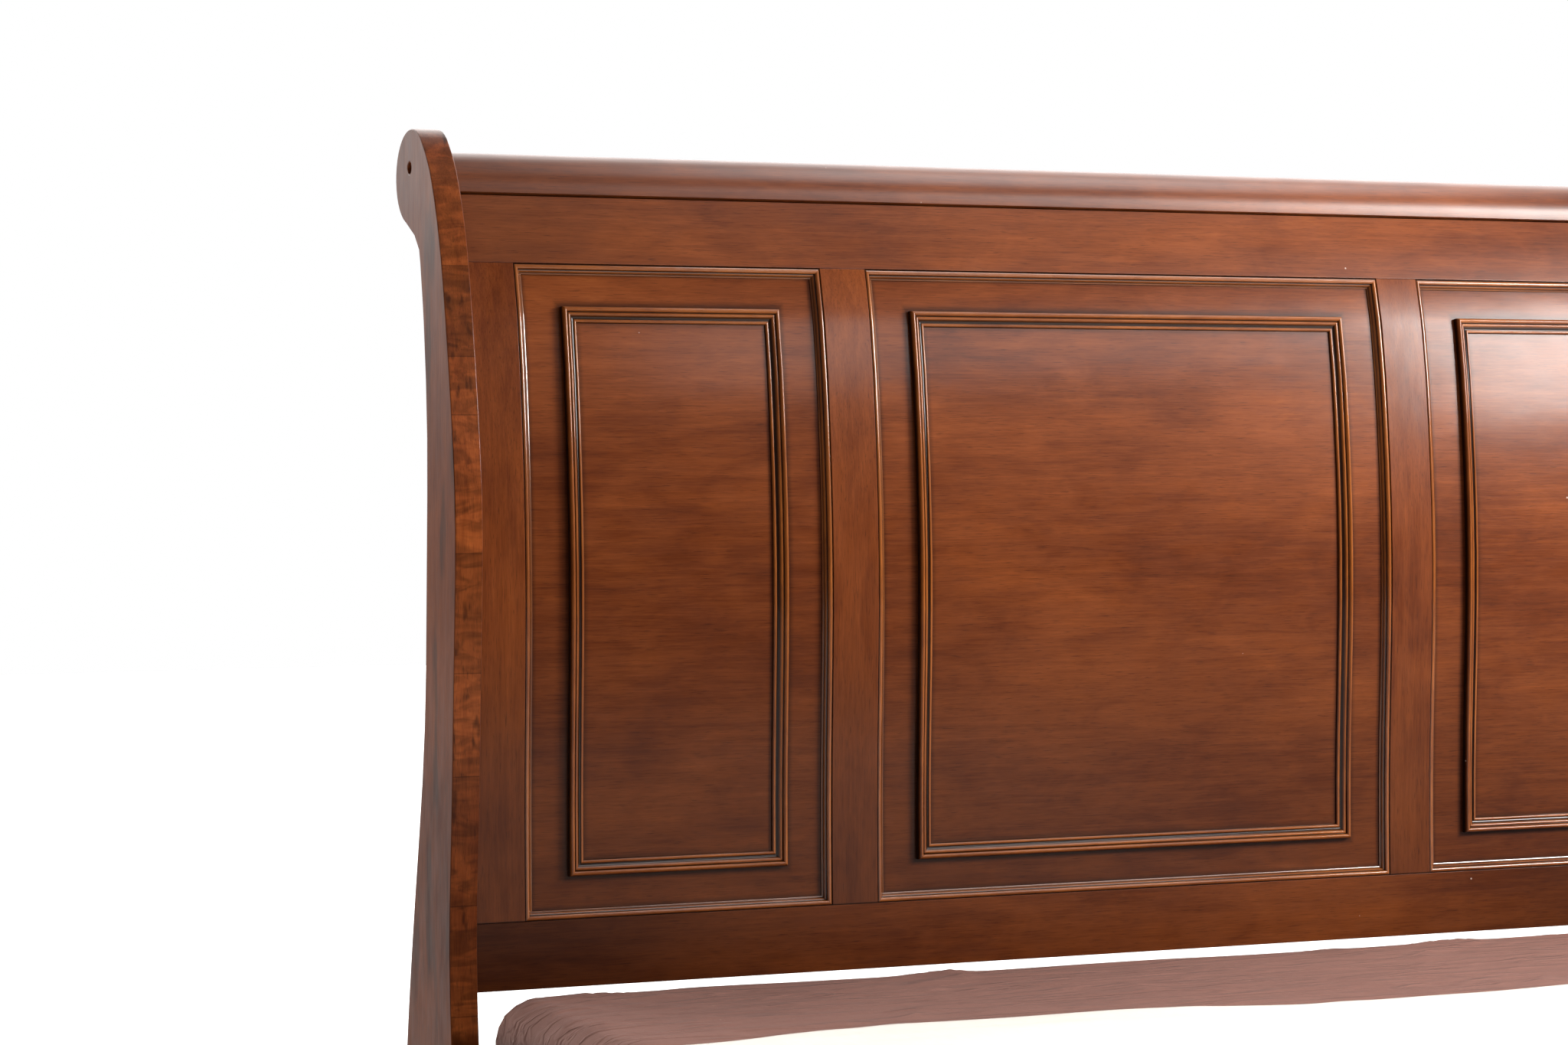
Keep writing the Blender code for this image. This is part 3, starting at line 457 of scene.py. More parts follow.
def trim_stick(mesh, uv, hollow, face, section, edges, side):
    """One side of a mitred ring, as a closed bar. Edges are the ring's outer left, right, bottom and top."""
    left, right, bottom, top = edges
    widest = section[-1][0] * MM
    if side in ("left", "right"):
        inner = [z for z in face.height if bottom + widest + MM < z < top - widest - MM]
        stations = [("start", bottom), *((None, z) for z in inner), ("end", top)]
    else:
        stations = [("start", left), ("end", right)]
    rings = []
    for kind, at in stations:
        ring = []
        for across, rise, _ in section:
            inset = across * MM
            slide = {"start": inset + MITRE_GAP, "end": -inset - MITRE_GAP, None: 0.0}[kind]
            x = {"left": left + inset, "right": right - inset}.get(side, at + slide)
            z = {"bottom": bottom + inset, "top": top - inset}.get(side, at + slide)
            ring.append(face.point(x, z, rise * MM))
        rings.append(ring)
    made = [[mesh.verts.new(point) for point in ring] for ring in rings]
    for ring in made:
        for vert, (_, _, depth) in zip(ring, section):
            vert[hollow] = depth
    girth = [0.0]
    for (a, b, _), (c, d, _) in zip(section, section[1:]):
        girth.append(girth[-1] + math.hypot(c - a, d - b) * MM)
    offset = {"left": 0.0, "right": 3.1, "bottom": 5.7, "top": 8.3}[side] + left
    for low, high, (_, start), (_, end) in zip(made, made[1:], stations, stations[1:]):
        for i in range(len(low)):
            j = (i + 1) % len(low)
            quad = mesh.faces.new((low[i], low[j], high[j], high[i]))
            spans = (girth[i], girth[j] if j else girth[i], girth[j] if j else girth[i], girth[i])
            for loop, breadth, along in zip(quad.loops, spans, (start, start, end, end)):
                loop[uv].uv = (along + offset, breadth)
            quad.smooth = bool(j)
    mesh.faces.new(made[0][::-1])
    mesh.faces.new(made[-1])


def add_trim(board, kind, which, face, section, look):
    """A ring of four mitred sticks that stands for the trim's CAD node."""
    node = f"{board}_{kind}_{which}"
    low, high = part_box(node)
    shift = section[0][0] * MM
    bottom, top = trim_edge(node, -1), trim_edge(node, 1)
    edges = (low.x - shift, high.x + shift, bottom - shift, top + shift)
    mesh = bmesh.new()
    uv = mesh.loops.layers.uv.new("sticks")
    hollow = mesh.verts.layers.float.new("hollow")
    for side in ("left", "right", "bottom", "top"):
        trim_stick(mesh, uv, hollow, face, section, edges, side)
    bmesh.ops.recalc_face_normals(mesh, faces=mesh.faces)
    data = bpy.data.meshes.new(f"{node}_sticks")
    mesh.to_mesh(data)
    mesh.free()
    data.set_sharp_from_angle(angle=math.radians(TRIM_SHARP))
    piece = new_object(f"{node}_sticks", data)
    data.materials.append(look)
    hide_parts(node)
    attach(piece, "bed_frame")


def trim_edge(node, way):
    """The height at which the trim's outer edge meets the panel, at its bottom (-1) or top (1)."""
    points = np.array([vert.co for vert in NODES[node].data.vertices])
    outer = points[abs(points[:, 0] - points[:, 0].min()) < 0.02 * MM]
    base = outer[outer[:, 2] * way > (outer[:, 2] * way).max() - 6.0 * MM]
    return float(base[np.argmax(base[:, 1]), 2])


def add_trims():
    shared = {"place": trim_place, "shade": trim_shade, "bump": 1.6}
    bead = cherry("cherry_bead", coat=0.95, coat_rough=0.13, **shared)
    moulding = cherry("cherry_moulding", coat=0.50, coat_rough=0.12, **shared)
    for board in BOARDS:
        face = Face(board)
        for which in PANELS:
            add_trim(board, "bead", which, face, BEAD_SECTION, bead)
            add_trim(board, "moulding", which, face, MOULDING_SECTION, moulding)


# Camera, light and floor


def add_camera():
    data = bpy.data.cameras.new("camera")
    data.lens = CAMERA_LENS
    data.sensor_width = CAMERA_SENSOR
    camera = new_object("camera", data)
    head_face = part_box("headboard_bottom_rail")[0].y
    camera.location = (CAMERA_X, head_face - CAMERA_BACK, CAMERA_Z)
    camera.rotation_euler = [math.radians(turn) for turn in CAMERA_TURN]
    bpy.context.scene.camera = camera


def add_light(name, place, target, size, power, colour):
    data = bpy.data.lights.new(name, "AREA")
    data.shape = "RECTANGLE"
    data.size, data.size_y = size
    data.energy = power
    data.color = colour
    light = new_object(name, data)
    light.location = place
    light.rotation_euler = (Vector(target) - Vector(place)).to_track_quat("-Z", "Y").to_euler()


def add_world():
    """White to the eye. As light, it is bright behind and above the headboard and dim in front of it."""
    world = bpy.data.worlds.new("studio")
    bpy.context.scene.world = world
    world.use_nodes = True
    tree = world.node_tree
    tree.nodes.clear()
    place = tree.nodes.new("ShaderNodeTexCoord")
    split = tree.nodes.new("ShaderNodeSeparateXYZ")
    tree.links.new(place.outputs["Generated"], split.inputs[0])
    strength = tree.nodes.new("ShaderNodeMath")
    strength.operation = "MULTIPLY"
    for i, (axis, low, high, least, most) in enumerate(WORLD_BANDS):
        part = tree.nodes.new("ShaderNodeMapRange")
        part.interpolation_type = "SMOOTHSTEP"
        part.inputs["From Min"].default_value = low
        part.inputs["From Max"].default_value = high
        part.inputs["To Min"].default_value = least
        part.inputs["To Max"].default_value = most
        tree.links.new(split.outputs[axis], part.inputs["Value"])
        tree.links.new(part.outputs[0], strength.inputs[i])
    dim = tree.nodes.new("ShaderNodeBackground")
    tree.links.new(strength.outputs[0], dim.inputs["Strength"])
    dim.inputs["Color"].default_value = (1.0, 0.985, 0.97, 1.0)
    white = tree.nodes.new("ShaderNodeBackground")
    white.inputs["Color"].default_value = (1.0, 1.0, 1.0, 1.0)
    white.inputs["Strength"].default_value = 1.0
    seen = tree.nodes.new("ShaderNodeLightPath")
    mix = tree.nodes.new("ShaderNodeMixShader")
    tree.links.new(seen.outputs["Is Camera Ray"], mix.inputs[0])
    tree.links.new(dim.outputs[0], mix.inputs[1])
    tree.links.new(white.outputs[0], mix.inputs[2])
    out = tree.nodes.new("ShaderNodeOutputWorld")
    tree.links.new(mix.outputs[0], out.inputs[0])


def add_floor():
    g = Graph("floor")
    x, y, _ = g.object_place()
    cloud = g.noise(g.combine(x, y, 0.0), 1.3, 3.0)
    g.set("Base Color", g.ramp(cloud, ((0.3, (0.80, 0.80, 0.80)), (0.7, (0.84, 0.84, 0.83)))))
    g.set("Roughness", 0.75)
    seen = g.node("ShaderNodeLightPath").outputs["Is Camera Ray"]
    g.set("Emission Color", (1.0, 1.0, 1.0))
    g.set("Emission Strength", g.math("MULTIPLY", seen, FLOOR_GLOW))
    data = bpy.data.meshes.new("floor")
    corners = [(x * FLOOR_HALF, y * FLOOR_HALF, 0.0) for x, y in ((-1, -1), (1, -1), (1, 1), (-1, 1))]
    data.from_pydata(corners, [], [(0, 1, 2, 3)])
    data.materials.append(g.material)
    new_object("floor", data)


def add_studio():
    add_world()
    add_floor()
    for light in LIGHTS:
        add_light(*light)
    bpy.context.scene.view_settings.view_transform = "Standard"
    bpy.context.scene.view_settings.look = "None"


# Finishes on the CAD nodes


WELD = 0.01 * MM
FLAT_ANGLE = 0.12  # degrees: faces this close to one plane are joined before the bevel
EASE_ANGLE = 32.0  # degrees: edges sharper than this are eased


def finish_node(name, look, bevel, segments=2):
    """Gives a CAD node its finish and eased edges. Its own mesh and place stay as they are."""
    node = NODES[name]
    for slot in node.material_slots:
        slot.material = look
    data = node.data
    for layer in ("custom_normal", "sharp_edge", "sharp_face"):
        found = data.attributes.get(layer)
        if found is not None:
            data.attributes.remove(found)
    data.shade_smooth()
    weld = node.modifiers.new("weld", "WELD")
    weld.merge_threshold = WELD
    flat = node.modifiers.new("flat", "DECIMATE")
    flat.decimate_type = "DISSOLVE"
    flat.angle_limit = math.radians(FLAT_ANGLE)
    flat.delimit = set()
    ease = node.modifiers.new("ease", "BEVEL")
    ease.width = bevel
    ease.segments = segments
    ease.limit_method = "ANGLE"
    ease.angle_limit = math.radians(EASE_ANGLE)
    ease.harden_normals = True
    ease.use_clamp_overlap = True


PANEL_EASE = 0.3 * MM


def add_finishes():
    # The rails' darker ends, and the bottom rail's darker tone, are painted shade.
    rail = cherry("cherry_rail", "X", tone=0.95, shade=end_shade(0.30, 0.40, 0.78), coat=0.75,
                  coat_rough=0.36)
    dark_rail = cherry("cherry_bottom_rail", "X", tone=0.72, shade=end_shade(0.55, 0.20, 0.78), coat=0.14)
    top_rail = cherry("cherry_top_rail", "X", shade=end_shade(0.25, 0.45, 0.78), coat=0.85,
                      coat_rough=0.24)
    post = cherry("cherry_post", "Z", shade=block_shade(POST_BLOCK, POST_SEED), coat=post_coat)
    side_rail = cherry("cherry_side_rail", "Y")
    for board in BOARDS:
        upright = cherry(f"cherry_upright_{board}", "Z", shade=low_shade(board), coat=0.26)
        for side in ("left", "right"):
            finish_node(f"{board}_post_{side}", post, 1.4 * MM, 3)
            finish_node(f"{board}_stile_{side}", upright, 0.5 * MM)
            finish_node(f"{board}_mullion_{side}", upright, 0.5 * MM)
        finish_node(f"{board}_top_rail", top_rail, 0.5 * MM)
        finish_node(f"{board}_bottom_rail", dark_rail, 0.5 * MM)
        finish_node(f"{board}_roll", rail, 0.8 * MM)
        for kind, names in (("side", ("left", "right")), ("centre", ("centre",))):
            look = cherry(f"cherry_panel_{board}_{kind}", "X", shade=panel_shade(board, names[0]))
            for name in names:
                finish_node(f"{board}_panel_{name}", look, PANEL_EASE)
    for side in ("left", "right"):
        finish_node(f"side_rail_{side}", side_rail, 1.6 * MM, 3)


# Slats, hardware


PINE_STOPS = ((0.2, (0.42, 0.235, 0.105)), (0.5, (0.58, 0.37, 0.19)), (0.85, (0.70, 0.50, 0.29)))
STRAP_STOPS = ((0.2, (0.50, 0.46, 0.38)), (0.8, (0.72, 0.68, 0.58)))
STRAP_THREADS = 2600.0  # radians per metre


def pine(name, along, webbing=None):
    """Bare planed pine with growth rings. Above the webbing height it is woven cream strap."""
    g = Graph(name)
    place = grain_place(g, along)
    bend = g.noise(g.scaled(place, (6.0, 6.0, 0.8)), 1.0, 2.0)
    rings = g.node("ShaderNodeTexWave", wave_type="RINGS", rings_direction="Z")
    g.link(g.scaled(place, (1.0, 0.35, 0.012), (0.31, 0.12, 0.0)), rings.inputs["Vector"])
    rings.inputs["Scale"].default_value = 28.0
    rings.inputs["Distortion"].default_value = 6.0
    rings.inputs["Detail"].default_value = 2.0
    rings.inputs["Detail Scale"].default_value = 1.2
    fibres = g.noise(g.scaled(place, (600.0, 600.0, 18.0)), 1.0, 2.0, 0.6)
    value = g.math("ADD", g.math("MULTIPLY", rings.outputs["Fac"], 0.45), g.math("MULTIPLY", bend, 0.35))
    value = g.math("ADD", value, g.math("MULTIPLY", fibres, 0.2))
    colour = g.ramp(value, PINE_STOPS)
    height = fibres
    if webbing is not None:
        x, y, z = g.object_place()
        strap = g.math("GREATER_THAN", z, webbing)
        threads = g.math("MULTIPLY", g.math("SINE", g.math("MULTIPLY", x, STRAP_THREADS)),
                         g.math("SINE", g.math("MULTIPLY", y, STRAP_THREADS)))
        woven = g.ramp(g.band(threads, -1.0, 1.0), STRAP_STOPS)
        colour = g.mix(strap, colour, woven)
        height = g.math("ADD", g.math("MULTIPLY", fibres, g.math("SUBTRACT", 1.0, strap)),
                        g.math("MULTIPLY", threads, strap))
    g.set("Base Color", colour)
    g.set("Roughness", g.band(bend, 0.2, 0.8, 0.52, 0.68))
    g.set("Normal", g.bump(height, 0.3 * MM, 0.5))
    return g.material


def steel(name):
    """Dull zinc-plated steel, brushed and slightly stained."""
    g = Graph(name)
    place = g.combine(*g.object_place())
    brushed = g.noise(g.scaled(place, (1400.0, 1400.0, 90.0)), 1.0, 2.0, 0.6)
    stain = g.noise(g.scaled(place, (70.0, 70.0, 70.0)), 1.0, 3.0)
    value = g.math("ADD", g.math("MULTIPLY", brushed, 0.35), g.math("MULTIPLY", stain, 0.65))
    g.set("Base Color", g.ramp(value, ((0.3, (0.20, 0.19, 0.18)), (0.7, (0.42, 0.41, 0.39)))))
    g.set("Metallic", 1.0)
    g.set("Roughness", g.band(stain, 0.2, 0.8, 0.28, 0.46))
    g.set("Normal", g.bump(brushed, 0.05 * MM, 0.6))
    return g.material


def black_plastic(name):
    """Moulded black plastic with a fine eroded texture."""
    g = Graph(name)
    place = g.combine(*g.object_place())
    grain = g.noise(g.scaled(place, (1800.0, 1800.0, 1800.0)), 1.0, 2.0)
    scuff = g.noise(g.scaled(place, (90.0, 90.0, 90.0)), 1.0, 3.0)
    g.set("Base Color", g.ramp(scuff, ((0.3, (0.016, 0.016, 0.017)), (0.75, (0.040, 0.039, 0.038)))))
    g.set("Roughness", g.band(scuff, 0.2, 0.8, 0.42, 0.60))
    g.set("Normal", g.bump(grain, 0.1 * MM, 0.6))
    return g.material


# Mattress and bedding

MATTRESS_EDGE = 0.038  # radius of the mattress's top edge
MATTRESS_CORNER = 0.050  # radius of its corners, in plan
MATTRESS_VOXEL = 0.020
MATTRESS_START = 0.003  # how much smaller than its CAD solid it starts
MATTRESS_CAP = 0.010  # the furthest that a point may swell
MATTRESS_SLACK = 0.2 * MM  # how far inside its CAD box each side ends
MATTRESS_FRAMES = 20
MATTRESS_PRESSURE = 4.0
SHEET_CLEAR = 0.0008  # of the sheet from the mattress
SHEET_THICK = 0.0008
COVER_CLEAR = 0.0022  # of the coverlet from the mattress
COVER_THICK = 0.0020
COVER_LAID = 3.4 * MM  # of the settled coverlet from the sheet, so their thicknesses and creases don't meet
COVER_CAP = 0.022  # the furthest that a point of it may settle
COVER_FRAMES = 24
RAIL_ROOM = 0.0056  # from the side rails to the mattress
SHEET_ROOM = 0.0047  # and to the sheet
COVER_ROOM = 0.0034  # and to the coverlet
BULGE = 0.006  # of the bedding above the side rails
BULGE_FROM = 0.006  # height over the rails at which it starts
BULGE_RISE = 0.035  # height in which it grows
CLOTH_QUALITY = 5
SLAT_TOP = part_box("slat_roll")[1].z
RAIL_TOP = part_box("side_rail_left")[1].z
RAIL_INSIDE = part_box("side_rail_right")[0].x
BED_LOW, BED_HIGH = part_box("mattress")
BED_MIDDLE_Y = (BED_LOW.y + BED_HIGH.y) / 2.0
HALF_X = (BED_HIGH.x - BED_LOW.x) / 2.0
HALF_Y = (BED_HIGH.y - BED_LOW.y) / 2.0
COVER_EDGE_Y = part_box("coverlet")[1].y
COVER_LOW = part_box("coverlet")[0].z


def applied(source, name):
    """The object as its modifiers shape it, as a new mesh."""
    graph = bpy.context.evaluated_depsgraph_get()
    data = bpy.data.meshes.new_from_object(source.evaluated_get(graph))
    data.name = name
    return data


def coordinates(data):
    points = np.empty(len(data.vertices) * 3, np.float32)
    data.vertices.foreach_get("co", points)
    return points.reshape(-1, 3).astype(float)


def set_coordinates(data, points):
    data.vertices.foreach_set("co", points.astype(np.float32).ravel())
    data.update()


def capped(points, start, most):
    """Points moved back towards their start, so that none is further from it than most."""
    move = points - start
    length = np.linalg.norm(move, axis=1, keepdims=True)
    return start + move * np.minimum(1.0, most / np.maximum(length, 1e-9))


def simulate(piece, frames, pressure=None, gravity=0.0, pins=None, collide=False, distance=0.003,
             **settings):
    """Where Blender's cloth takes the piece's points. The piece is left as it was, with no cloth on it."""
    cloth = piece.modifiers.new("cloth", "CLOTH")
    cloth.settings.quality = CLOTH_QUALITY
    cloth.settings.effector_weights.gravity = gravity
    if pressure is not None:
        cloth.settings.use_pressure = True
        cloth.settings.uniform_pressure_force = pressure
    if pins is not None:
        cloth.settings.vertex_group_mass = pins
    cloth.collision_settings.use_collision = collide
    cloth.collision_settings.distance_min = distance
    for key, value in settings.items():
        setattr(cloth.settings, key, value)
    cloth.point_cache.frame_start = 1
    cloth.point_cache.frame_end = frames
    scene = bpy.context.scene
    for step in range(1, frames + 1):
        scene.frame_set(step)
    data = applied(piece, piece.name)
    piece.modifiers.remove(cloth)
    scene.frame_set(1)
    result = coordinates(data)
    bpy.data.meshes.remove(data)
    return result


def between_rails(points, room):
    """Points kept that far inside the side rails, and no further out than a bulge above them."""
    rise = np.clip((points[..., 2] - RAIL_TOP - BULGE_FROM) / BULGE_RISE, 0.0, 1.0)
    beside = RAIL_INSIDE - room + BULGE * rise
    kept = points.copy()
    kept[..., 0] = np.clip(points[..., 0], -beside, beside)
    return kept


def make_mattress():
    """The mattress: an even mesh over its CAD solid, swollen, then brought back to the solid's box."""
    start = new_object("mattress_start", NODES["mattress"].data.copy())
    even = start.modifiers.new("even", "REMESH")
    even.mode = "VOXEL"
    even.voxel_size = MATTRESS_VOXEL
    soft = start.modifiers.new("soft", "SMOOTH")
    soft.factor = 0.5
    soft.iterations = 1
    data = applied(start, "mattress_pad")
    bpy.data.objects.remove(start)
    piece = new_object("mattress_pad", data)
    points = coordinates(data)
    middle = np.array((0.0, BED_MIDDLE_Y, (BED_LOW.z + BED_HIGH.z) / 2.0))
    half = np.array((HALF_X, HALF_Y, (BED_HIGH.z - BED_LOW.z) / 2.0))
    points = middle + (points - middle) * (1.0 - MATTRESS_START / half)
    set_coordinates(data, points)
    swollen = simulate(piece, MATTRESS_FRAMES, pressure=MATTRESS_PRESSURE, tension_stiffness=40.0,
                       compression_stiffness=40.0, bending_stiffness=8.0)
    points = capped(swollen, points, MATTRESS_CAP)
    low, high = points.min(axis=0), points.max(axis=0)
    points = middle + (points - (low + high) / 2.0) * (half - MATTRESS_SLACK) / ((high - low) / 2.0)
    set_coordinates(data, between_rails(points, RAIL_ROOM))
    data.shade_smooth()
    finer = piece.modifiers.new("finer", "SUBSURF")
    finer.levels = finer.render_levels = 1
    return piece


def wrap(s, t, grow):
    """Where the points (s, t) of a flat cloth lie, smoothed over the mattress and raised by grow.

    At a corner the cloth is drawn in, so its edge stays level.
    """
    radius = MATTRESS_EDGE + grow
    corner = MATTRESS_CORNER - MATTRESS_EDGE
    flat = np.stack((s, t), axis=-1)
    inner = np.array((HALF_X, HALF_Y)) - MATTRESS_EDGE - corner
    core = np.clip(flat, -inner, inner)
    beyond = flat - core
    length = abs(beyond).max(axis=-1)
    way = beyond / np.maximum(np.linalg.norm(beyond, axis=-1), 1e-9)[..., None]
    over = np.maximum(length - corner, 0.0)
    turn = np.minimum(over / radius, math.pi / 2.0)
    out = np.minimum(length, corner) + radius * np.sin(turn)
    down = radius * (1.0 - np.cos(turn)) + np.maximum(over - radius * math.pi / 2.0, 0.0)
    plan = core + way * out[..., None]
    return np.stack((plan[..., 0], plan[..., 1] + BED_MIDDLE_Y, BED_HIGH.z + grow - down), axis=-1)


def grid_mesh(name, points):
    """A quad mesh over a grid of points, facing up."""
    rows, columns = points.shape[:2]
    index = np.arange(rows * columns).reshape(rows, columns)
    quads = np.stack((index[:-1, :-1], index[:-1, 1:], index[1:, 1:], index[1:, :-1]), axis=-1)
    data = bpy.data.meshes.new(name)
    data.from_pydata(points.reshape(-1, 3).tolist(), [], quads.reshape(-1, 4).tolist())
    data.shade_smooth()
    return data


def grid_normals(points):
    across = np.gradient(points, axis=1)
    along = np.gradient(points, axis=0)
    normal = np.cross(across, along)
    return normal / np.maximum(np.linalg.norm(normal, axis=-1, keepdims=True), 1e-12)


def laid_on(points, under, clear):
    """Points nearer than clear to the surface under them, moved square to it until they clear it."""
    graph = bpy.context.evaluated_depsgraph_get()
    tree = BVHTree.FromObject(under, graph)
    shape = points.shape
    moved = points.reshape(-1, 3).copy()
    for i, point in enumerate(moved):
        hit, normal, _, _ = tree.find_nearest(Vector(point))
        if hit is not None:
            gap = (Vector(point) - hit).dot(normal)
            moved[i] += np.array(normal) * max(clear - gap, 0.0)
    return moved.reshape(shape)


def smooth_noise(points, scale, seed, octaves=1):
    """Perlin noise from -1 to 1 at many points. Scale stretches each axis."""
    flat = points.reshape(-1, 3) * np.array(scale) + np.array((seed * 7.3, seed * 3.1, seed * 1.7))
    if octaves == 1:
        values = [noise.noise(point) for point in flat.tolist()]
    else:
        values = [noise.fractal(point, 0.8, 2.0, octaves) for point in flat.tolist()]
    return np.array(values).reshape(points.shape[:-1])


def uneven(start, marks):
    """Positions from start through marks of (end, step)."""
    line = [start]
    for end, step in marks:
        count = max(1, round(abs(end - line[-1]) / step))
        line += list(np.linspace(line[-1], end, count + 1)[1:])
    return np.array(line)


def cloth_ends(clear, low):
    """Half the width and half the length, laid flat, of a cloth over the mattress that hangs down to low."""
    drop = BED_HIGH.z + clear - low
    radius = MATTRESS_EDGE + clear
    reach = radius * math.pi / 2.0 - radius + drop
    return HALF_X - MATTRESS_EDGE + reach, HALF_Y - MATTRESS_EDGE + reach


SHEET_HEM = 0.012  # above the mattress's underside
LONG_CREASE = 1.6 * MM
SHARP_CREASE = 3.2 * MM
FINE_CREASE = 1.8 * MM
GATHER = 0.35 * MM  # of the elastic along the hem
CORNER_CREASE = 3.2 * MM
CORNER_PULL = 0.38  # how far the creases run in from a corner
CORNER_FANS = 17.0  # phase of the ridges for each radian round a corner
SHEET_DIP = 0.4 * MM  # the lowest that a crease may go
PRESSED = 0.8  # how much of the creases the coverlet presses flat


def make_sheet(mattress):
    """The fitted sheet: drawn over the mattress, with long soft creases and pulls at its corners."""
    end_s, end_t = cloth_ends(SHEET_CLEAR, BED_LOW.z + SHEET_HEM)
    s = uneven(-end_s, ((-HALF_X + 0.05, 0.012), (HALF_X - 0.05, 0.010), (end_s, 0.012)))
    t = uneven(-end_t, ((-HALF_Y + 0.06, 0.012), (HALF_Y - 0.46, 0.030), (HALF_Y - 0.06, 0.0065),
                        (HALF_Y + 0.02, 0.005), (end_t, 0.012)))
    grid_t, grid_s = np.meshgrid(t, s, indexing="ij")
    points = laid_on(wrap(grid_s, grid_t, SHEET_CLEAR), mattress, SHEET_CLEAR)
    normal = grid_normals(points)
    bed = points - np.array((0.0, BED_MIDDLE_Y, 0.0))
    flat = np.stack((grid_s, grid_t, np.zeros_like(grid_s)), axis=-1)
    long_creases = smooth_noise(flat, (2.2, 17.0, 1.0), 3, 2)
    sharp = 1.0 - abs(smooth_noise(flat, (1.9, 9.0, 1.0), 9, 2)) * 2.6
    fine = 1.0 - abs(smooth_noise(flat, (3.6, 21.0, 1.0), 14, 2)) * 2.2
    lift = LONG_CREASE * long_creases + SHARP_CREASE * np.maximum(sharp, 0.0) ** 5
    lift = lift + FINE_CREASE * np.maximum(fine, 0.0) ** 4
    for side in (-1.0, 1.0):
        for end in (-1.0, 1.0):
            away = np.hypot(grid_s - side * HALF_X, grid_t - end * HALF_Y)
            turn = np.arctan2((grid_t - end * HALF_Y) * -end, (grid_s - side * HALF_X) * -side)
            wobble = smooth_noise(flat, (5.0, 5.0, 1.0), 5 + side + 2 * end)
            fan = np.cos(turn * CORNER_FANS + 2.4 * wobble + side)
            fade = np.clip(1.0 - away / CORNER_PULL, 0.0, 1.0) * np.clip(away / 0.10, 0.0, 1.0)
            lift += CORNER_CREASE * np.maximum(fan, 0.0) ** 2 * fade**1.3
    beside = np.clip((bed[..., 2] - RAIL_TOP) / 0.03, 0.0, 1.0)
    lift *= np.maximum(beside, (abs(bed[..., 1]) > HALF_Y - 0.02) * 1.0)
    gather = np.clip((BED_LOW.z + 0.07 - bed[..., 2]) / 0.05, 0.0, 1.0)
    lift += GATHER * gather * np.sin((grid_s + grid_t) * 380.0 + 2.0 * long_creases)
    pressed = np.clip((COVER_EDGE_Y - 0.10 - points[..., 1]) / 0.15, 0.0, 1.0)
    lift = np.maximum(lift * (1.0 - PRESSED * pressed), -SHEET_DIP)
    points = between_rails(points + normal * lift[..., None], SHEET_ROOM)
    piece = new_object("fitted_sheet_cloth", grid_mesh("fitted_sheet_cloth", points))
    return piece, 2.0 * end_s, 2.0 * end_t


# The coverlet's head edge, as (across the bed, how far it moves towards the head)
COVER_WAVE = (
    (-0.95, -0.010), (-0.76, -0.016), (-0.68, -0.016), (-0.57, 0.008), (-0.45, 0.014),
    (-0.24, 0.012), (-0.12, -0.018), (-0.04, -0.042), (0.13, -0.042), (0.22, -0.026),
    (0.36, -0.004), (0.52, 0.006), (0.70, -0.004), (0.95, -0.010),
)


def make_cover(sheet):
    """The coverlet: laid over the sheet and tucked beside the mattress, its head edge a soft wave."""
    end_s, end_t = cloth_ends(COVER_CLEAR, COVER_LOW)
    s = uneven(-end_s, ((end_s, 0.016),))
    share = uneven(0.0, ((0.05, 0.006), (1.0, 0.011)))
    wave_x, wave_y = zip(*COVER_WAVE)
    edge = COVER_EDGE_Y - BED_MIDDLE_Y + np.interp(s, wave_x, wave_y) + 2.5 * MM * np.sin(s * 41.0)
    window = np.hanning(11)
    edge = np.convolve(np.pad(edge, 5, mode="edge"), window / window.sum(), mode="valid")
    grid_t = edge[None, :] + (-end_t - edge[None, :]) * share[:, None]
    grid_s = np.broadcast_to(s, grid_t.shape)
    points = wrap(grid_s, grid_t, COVER_CLEAR)[:, ::-1]
    points = laid_on(points, sheet, COVER_CLEAR - SHEET_CLEAR)
    data = grid_mesh("coverlet_cloth", points)
    piece = new_object("coverlet_cloth", data)
    pins = piece.vertex_groups.new(name="tucked")
    low = [i for i, z in enumerate(points.reshape(-1, 3)[:, 2]) if z < RAIL_TOP]
    pins.add(low, 1.0, "REPLACE")
    bump = sheet.modifiers.new("bump", "COLLISION")
    sheet.collision.thickness_outer = 1.2 * MM
    sheet.collision.damping = 0.6
    settled = simulate(piece, COVER_FRAMES, gravity=1.0, pins="tucked", collide=True, distance=0.0018,
                       shrink_min=-0.014, tension_stiffness=22.0, compression_stiffness=22.0,
                       shear_stiffness=8.0, bending_stiffness=0.9)
    sheet.modifiers.remove(bump)
    piece.vertex_groups.remove(pins)
    points = capped(settled, points.reshape(-1, 3), COVER_CAP)
    for _ in range(2):
        points = laid_on(points, sheet, COVER_LAID)
    points = between_rails(points, COVER_ROOM)
    set_coordinates(data, points.reshape(-1, 3))
    return piece, 2.0 * end_s, float(edge.max() + end_t)


